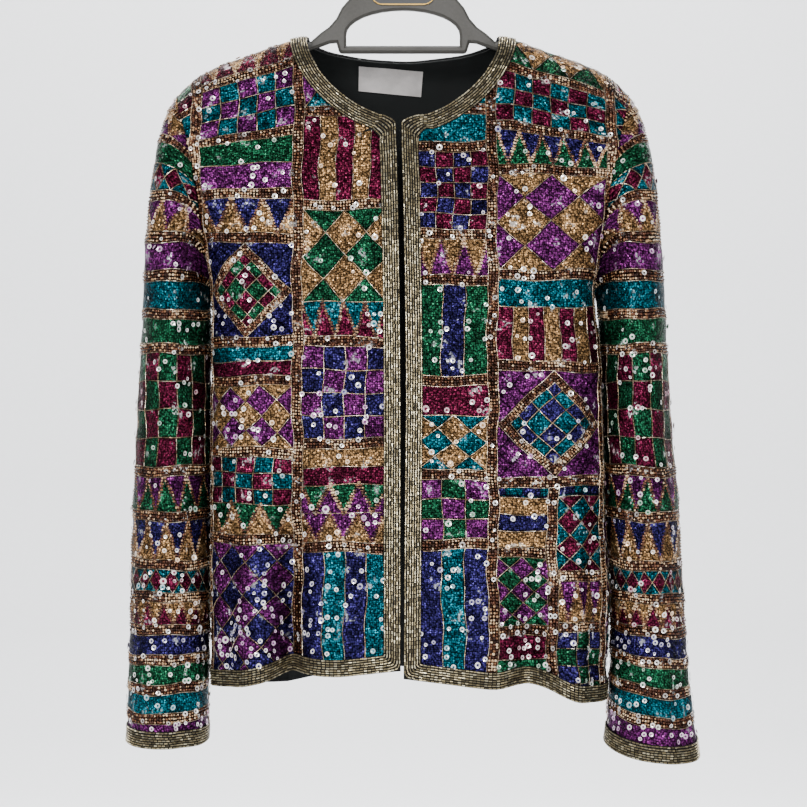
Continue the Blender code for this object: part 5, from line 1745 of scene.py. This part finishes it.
def edge_rows(name, panel, lines, seed):
    """Seven rows of gilt bugle beads, end to end along the given lines of the drawing."""
    strewn = Strewn(seed)
    for x, y, closed in lines:
        points, _ = panel.place(x, y)
        run = np.append(0, np.cumsum(np.linalg.norm(np.diff(points, axis=0), axis=-1)))
        count = int(round(run[-1] / LINE_PITCH))
        start = strewn.draw.uniform(0, 1)
        at = (np.arange(count) + (start if closed else 0.5)) * run[-1] / count
        px, py = np.interp(at, run, x), np.interp(at, run, y)
        ahead = np.interp(at + WAY_STEP, run, x), np.interp(at + WAY_STEP, run, y)
        behind = np.interp(at - WAY_STEP, run, x), np.interp(at - WAY_STEP, run, y)
        points, normals = panel.place(px, py)
        ways = unit(panel.place(*ahead)[0] - panel.place(*behind)[0])
        value = strewn.draw.uniform(0.35, 1.15, size=(count, 1))
        tint = EDGE_BEADS[strewn.draw.integers(0, len(EDGE_BEADS), count)] * value
        long = EDGE_BUGLE[0] * (1 + 0.06 * strewn.draw.normal(size=(count, 1)))
        size = np.concatenate([long, np.full((count, 2), EDGE_BUGLE[1])], axis=1)
        strewn.add("bugle", points, normals, ways, size, tint, 0.05, 0.0014)
    return strewn.join(name)


EDGE_SHARES = np.linspace(0.07, 0.93, 7)


def strip(name, panel, u, e, cells):
    """The tape under the edge beads: a closed strip over some cells of a fine grid."""
    points, normals = panel.place(*drawn(u, e))
    rows, columns = u.shape
    top = []
    for j, i in zip(*np.nonzero(cells)):
        a = j * columns + i
        top.append((a, a + columns, a + columns + 1, a + 1))
    top = np.array(top)
    used, top = np.unique(top, return_inverse=True)
    top = top.reshape(-1, 4)
    first = points.reshape(-1, 3)[used]
    out = normals.reshape(-1, 3)[used]
    corner = first[top[0]]
    if np.dot(np.cross(corner[1] - corner[0], corner[2] - corner[1]), out[top[0][0]]) < 0:
        top = top[:, ::-1]
    mesh = bpy.data.meshes.new(name)
    mesh.from_pydata([tuple(p) for p in first + out * TAPE_HIGH], [], [tuple(f) for f in top])
    flat = np.stack([u.ravel()[used], e.ravel()[used]], -1)
    keep_map(mesh, "cloth", flat[top.ravel()])
    piece = link(name, mesh, TAPE)
    walled(piece, TAPE_HIGH - TAPE_LOW, 0)
    return piece


def front_edge_lines(panel):
    """Lines round the neck, down the front edge, round the corner and along the hem."""
    u, e = panel.u, panel.e
    down, across = panel.times
    lines = []
    for share in EDGE_SHARES:
        edge_u = between(u[:-down, 0], u[:-down, across], share)
        edge_e = between(e[:-down, 0], e[:-down, across], share)
        hem_u, hem_e = u[-1], between(e[-1], e[-1 - down], share)
        turn = 0.0055 * (1 - share) + 0.0020
        corner_u = edge_u[-1]
        corner_e = float(np.interp(corner_u, hem_u, hem_e))
        keep = edge_e < corner_e - turn
        after = hem_u > corner_u + turn
        t = np.linspace(0, 1, 9)
        arc_u = corner_u + turn * t**2
        arc_e = corner_e - turn * (1 - t) ** 2
        x = np.concatenate([edge_u[keep], arc_u, hem_u[after]])
        y = np.concatenate([edge_e[keep], arc_e, hem_e[after]])
        lines.append((*drawn(x, y), False))
    return lines


made = []
for side, number in (("right", 11), ("left", 12)):
    panel = BodyPanel(side)
    work = FRONT_RIGHT_WORK if side == "right" else FRONT_LEFT_WORK
    x, y = drawn(panel.u, panel.e)
    cloth = cloth_shell("cloth_front_" + side, panel, x, y, panel.trim, work)
    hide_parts("front_" + side)
    tape = strip("tape_front_" + side, panel, panel.u, panel.e, panel.trim)
    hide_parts("trim_front_" + side)
    edge = edge_rows("edge_beads_front_" + side, panel, front_edge_lines(panel), number)
    raised = beadwork("front_" + side, panel, work, number + 20, -0.004, 0.60)
    made += [cloth, tape, edge, *raised]

panel = BodyPanel("back")
x, y = drawn(panel.u, panel.e)
cloth = cloth_shell("cloth_back", panel, x, y, panel.trim, BACK_WORK)
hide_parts("back")
down, across = panel.times
neck = np.zeros_like(panel.trim)
neck[:down] = panel.trim[:down]
hem = np.zeros_like(panel.trim)
hem[-down:] = True
tape_neck = strip("tape_back_neck", panel, panel.u, panel.e, neck)
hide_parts("trim_back_neck")
tape_hem = strip("tape_back_hem", panel, panel.u, panel.e, hem)
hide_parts("trim_back_hem")
span = slice(BACK_TRIM_CELLS[0] * across, (BACK_TRIM_CELLS[-1] + 1) * across + 1)
lines = []
for share in EDGE_SHARES:
    u = between(panel.u[0, span], panel.u[down, span], share)
    e = between(panel.e[0, span], panel.e[down, span], share)
    lines.append((*drawn(u, e), False))
edge_neck = edge_rows("edge_beads_back_neck", panel, lines, 13)
lines = [
    (*drawn(panel.u[-1], between(panel.e[-1], panel.e[-1 - down], share)), False) for share in EDGE_SHARES
]
edge_hem = edge_rows("edge_beads_back_hem", panel, lines, 14)
raised = beadwork("back", panel, BACK_WORK, 33, -0.004, 0.60)
made += [cloth, tape_neck, tape_hem, edge_neck, edge_hem, *raised]
back_panel = panel

for side, number in (("right", 15), ("left", 16)):
    panel = SleevePanel(side)
    fine_ring = np.linspace(0, CAP_RINGS + TUBE_RINGS, (CAP_RINGS + TUBE_RINGS) * FINE[0] + 1)
    fine_column = np.linspace(0, panel.count, panel.count * FINE[1] + 1)
    ring, column = np.meshgrid(fine_ring, fine_column, indexing="ij")
    s = column / panel.count * SLEEVE_ROUND
    v = panel.down_of(ring, panel.column(s))
    trim = np.zeros((len(fine_ring) - 1, len(fine_column) - 1), bool)
    trim[-FINE[0] :] = True
    work = stack(-0.02, SLEEVE_ROUND + 0.02, -0.010, SLEEVE_ROWS)
    for one in work:
        one["box"] = (0.0, SLEEVE_ROUND, one["box"][2], one["box"][3])
    x, y = drawn(s, v)
    cloth = cloth_shell("cloth_sleeve_" + side, panel, x, y, trim, work)
    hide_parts("sleeve_" + side)
    tape = strip("tape_cuff_" + side, panel, s, v, trim)
    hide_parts("trim_cuff_" + side)
    lines = []
    s = np.linspace(0, SLEEVE_ROUND, 120)
    for share in EDGE_SHARES:
        v = np.full_like(s, between(panel.tube[-1], panel.tube[-2], share))
        lines.append((*drawn(s, v), True))
    edge = edge_rows("edge_beads_cuff_" + side, panel, lines, number)
    raised = beadwork("sleeve_" + side, panel, work, number + 20, 0.0, panel.last)
    made += [cloth, tape, edge, *raised]


def closed_plate(name, upper, lower, cells, flat, finish):
    """A closed piece over cells of two fine grids of points."""
    rows, columns = upper.shape[:2]
    top = np.array([
        (j * columns + i, (j + 1) * columns + i, (j + 1) * columns + i + 1, j * columns + i + 1)
        for j, i in cells
    ])
    used, top = np.unique(top, return_inverse=True)
    top = top.reshape(-1, 4)
    count = len(used)
    edges = {(int(a), int(b)): True for face in top for a, b in zip(face, np.roll(face, -1))}
    faces = [tuple(int(v) for v in f) for f in top]
    faces += [tuple(int(v) + count for v in f[::-1]) for f in top]
    faces += [(b, a, a + count, b + count) for a, b in edges if (b, a) not in edges]
    points = np.concatenate([upper.reshape(-1, 3)[used], lower.reshape(-1, 3)[used]])
    mesh = bpy.data.meshes.new(name)
    mesh.from_pydata([tuple(p) for p in points], [], faces)
    cloth = np.concatenate([flat.reshape(-1, 2)[used]] * 2)
    corner = np.concatenate([np.array(f) for f in faces])
    keep_map(mesh, "cloth", cloth[corner])
    work = bmesh.new()
    work.from_mesh(mesh)
    bmesh.ops.recalc_face_normals(work, faces=work.faces)
    work.to_mesh(mesh)
    work.free()
    piece = link(name, mesh, finish)
    only(piece)
    bpy.ops.object.shade_smooth_by_angle(angle=np.radians(40))
    return piece


# The lining of the back, all of it but the strip along the shoulders beside the neck.
u, e = back_panel.u[::2, ::2], back_panel.e[::2, ::2]
points, normals = back_panel.place(*drawn(u, e))
near = points - normals * LINING_IN
far = points - normals * (LINING_IN + LINING_WALL)
down = FINE[0] // 2
first, last = (round(i * FINE[1] / 2) for i in (BACK_TRIM_CELLS[0], BACK_TRIM_CELLS[-1] + 1))
cells = [
    (j, i)
    for j in range(u.shape[0] - 1)
    for i in range(u.shape[1] - 1)
    if j >= down or first <= i < last
]
lining = closed_plate("lining_of_back", near, far, cells, np.stack([u, e], -1), LINING)
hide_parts("lining_back")

# The label, bare, on the lining inside the neck.
corner_u = np.array(LABEL_CORNERS["x"])
corner_z = np.array(LABEL_CORNERS["z"])
aim_z = corner_z.copy()
for _ in range(4):
    corner_e = run_of(corner_u, aim_z)
    points, normals = back_panel.place(*drawn(corner_u, corner_e))
    aim_z = aim_z + corner_z - (points - normals * (LINING_IN + LINING_WALL))[:, 2]
t, s = np.meshgrid(np.linspace(0, 1, LABEL_COLUMNS + 1), np.linspace(0, 1, LABEL_ROWS + 1))
label_u, label_e = (
    between(between(at[0], at[1], t), between(at[3], at[2], t), s) for at in (corner_u, corner_e)
)
points, normals = back_panel.place(*drawn(label_u, label_e))
rise = LABEL_CLEAR + 0.0004 * np.sin(np.pi * s) * (0.6 + 0.4 * np.cos(3 * np.pi * t))
base = points - normals * (LINING_IN + LINING_WALL + rise)[..., None]
cells = [(j, i) for j in range(LABEL_ROWS) for i in range(LABEL_COLUMNS)]
flat = np.stack([label_u, label_e], -1)
label = closed_plate("label_of_neck", base, base - normals * LABEL_WALL, cells, flat, LABEL)
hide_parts("label")

# Hanger: the CAD plate, hook and badge keep their shapes; the gilt rim of the badge is in its finish.
for name, finish in (("hanger", BOARD), ("hanger_hook", HOOK_METAL), ("hanger_badge", BADGE)):
    node = bpy.data.objects[name]
    for slot in node.material_slots:
        slot.material = finish

for piece in made + [lining, label]:
    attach(piece, "root")

# Camera and light: one long lens from the front, a soft key from the upper left, a fill, and a small
# lamp near the camera, which is what wakes the sequins.
lens = bpy.data.cameras.new("camera")
lens.lens = 123.9
lens.sensor_width = 36.0
camera = bpy.data.objects.new("camera", lens)
camera.location = (0.00045, -2.5, -0.459)
camera.rotation_euler = (np.pi / 2, 0, 0)
bpy.context.collection.objects.link(camera)
bpy.context.scene.camera = camera


def lamp(name, power, size, place, aim=(0, 0, -0.45)):
    data = bpy.data.lights.new(name, "AREA")
    data.energy = power
    data.size = size
    made = bpy.data.objects.new(name, data)
    made.location = place
    way = np.array(aim, float) - np.array(place, float)
    flat = np.hypot(way[0], way[1])
    made.rotation_euler = (np.arctan2(flat, -way[2]), 0, np.arctan2(way[1], way[0]) - np.pi / 2)
    bpy.context.collection.objects.link(made)


lamp("key_light", 100.0, 1.0, (-1.5, -2.6, 1.1))
lamp("fill_light", 34.0, 1.4, (2.2, -2.2, 0.2))
lamp("flash_light", 34.0, 0.22, (0.10, -2.7, -0.20))
lamp("wall_light", 330.0, 1.8, (0.0, 1.6, 2.4), (0, 4.2, -0.4))
lamp("back_light_right", 60.0, 1.4, (-1.5, 2.6, 1.0))
lamp("back_light_left", 75.0, 1.2, (1.5, 2.5, 0.9))
lamp("side_light_right", 6.0, 1.4, (-2.8, 0.9, 0.6))
lamp("side_light_left", 6.0, 1.4, (2.8, 0.9, 0.6))

FLOOR_Z = -1.25
profile = [
    (-5.0, FLOOR_Z), (3.2, FLOOR_Z), (3.65, FLOOR_Z + 0.06), (4.0, FLOOR_Z + 0.26),
    (4.2, FLOOR_Z + 0.6), (4.25, FLOOR_Z + 1.1), (4.25, 3.5),
]
verts = [(x, y, z) for x in (-7.0, 7.0) for y, z in profile]
count = len(profile)
mesh = bpy.data.meshes.new("backdrop")
mesh.from_pydata(verts, [], [(k, k + count, k + count + 1, k + 1) for k in range(count - 1)])
# Backdrop: seamless studio paper, matt, with hardly any grain.
paper = solid("backdrop_paper", "#e9eaec", 0.0, 0.85, 0.01, 3.0)
backdrop = link("backdrop", mesh, paper)
mesh.polygons.foreach_set("use_smooth", np.ones(count - 1, bool))

world = bpy.data.worlds.new("studio")
world.use_nodes = True
world.node_tree.nodes["Background"].inputs[0].default_value = (0.86, 0.88, 0.92, 1)
world.node_tree.nodes["Background"].inputs[1].default_value = 0.33
bpy.context.scene.world = world
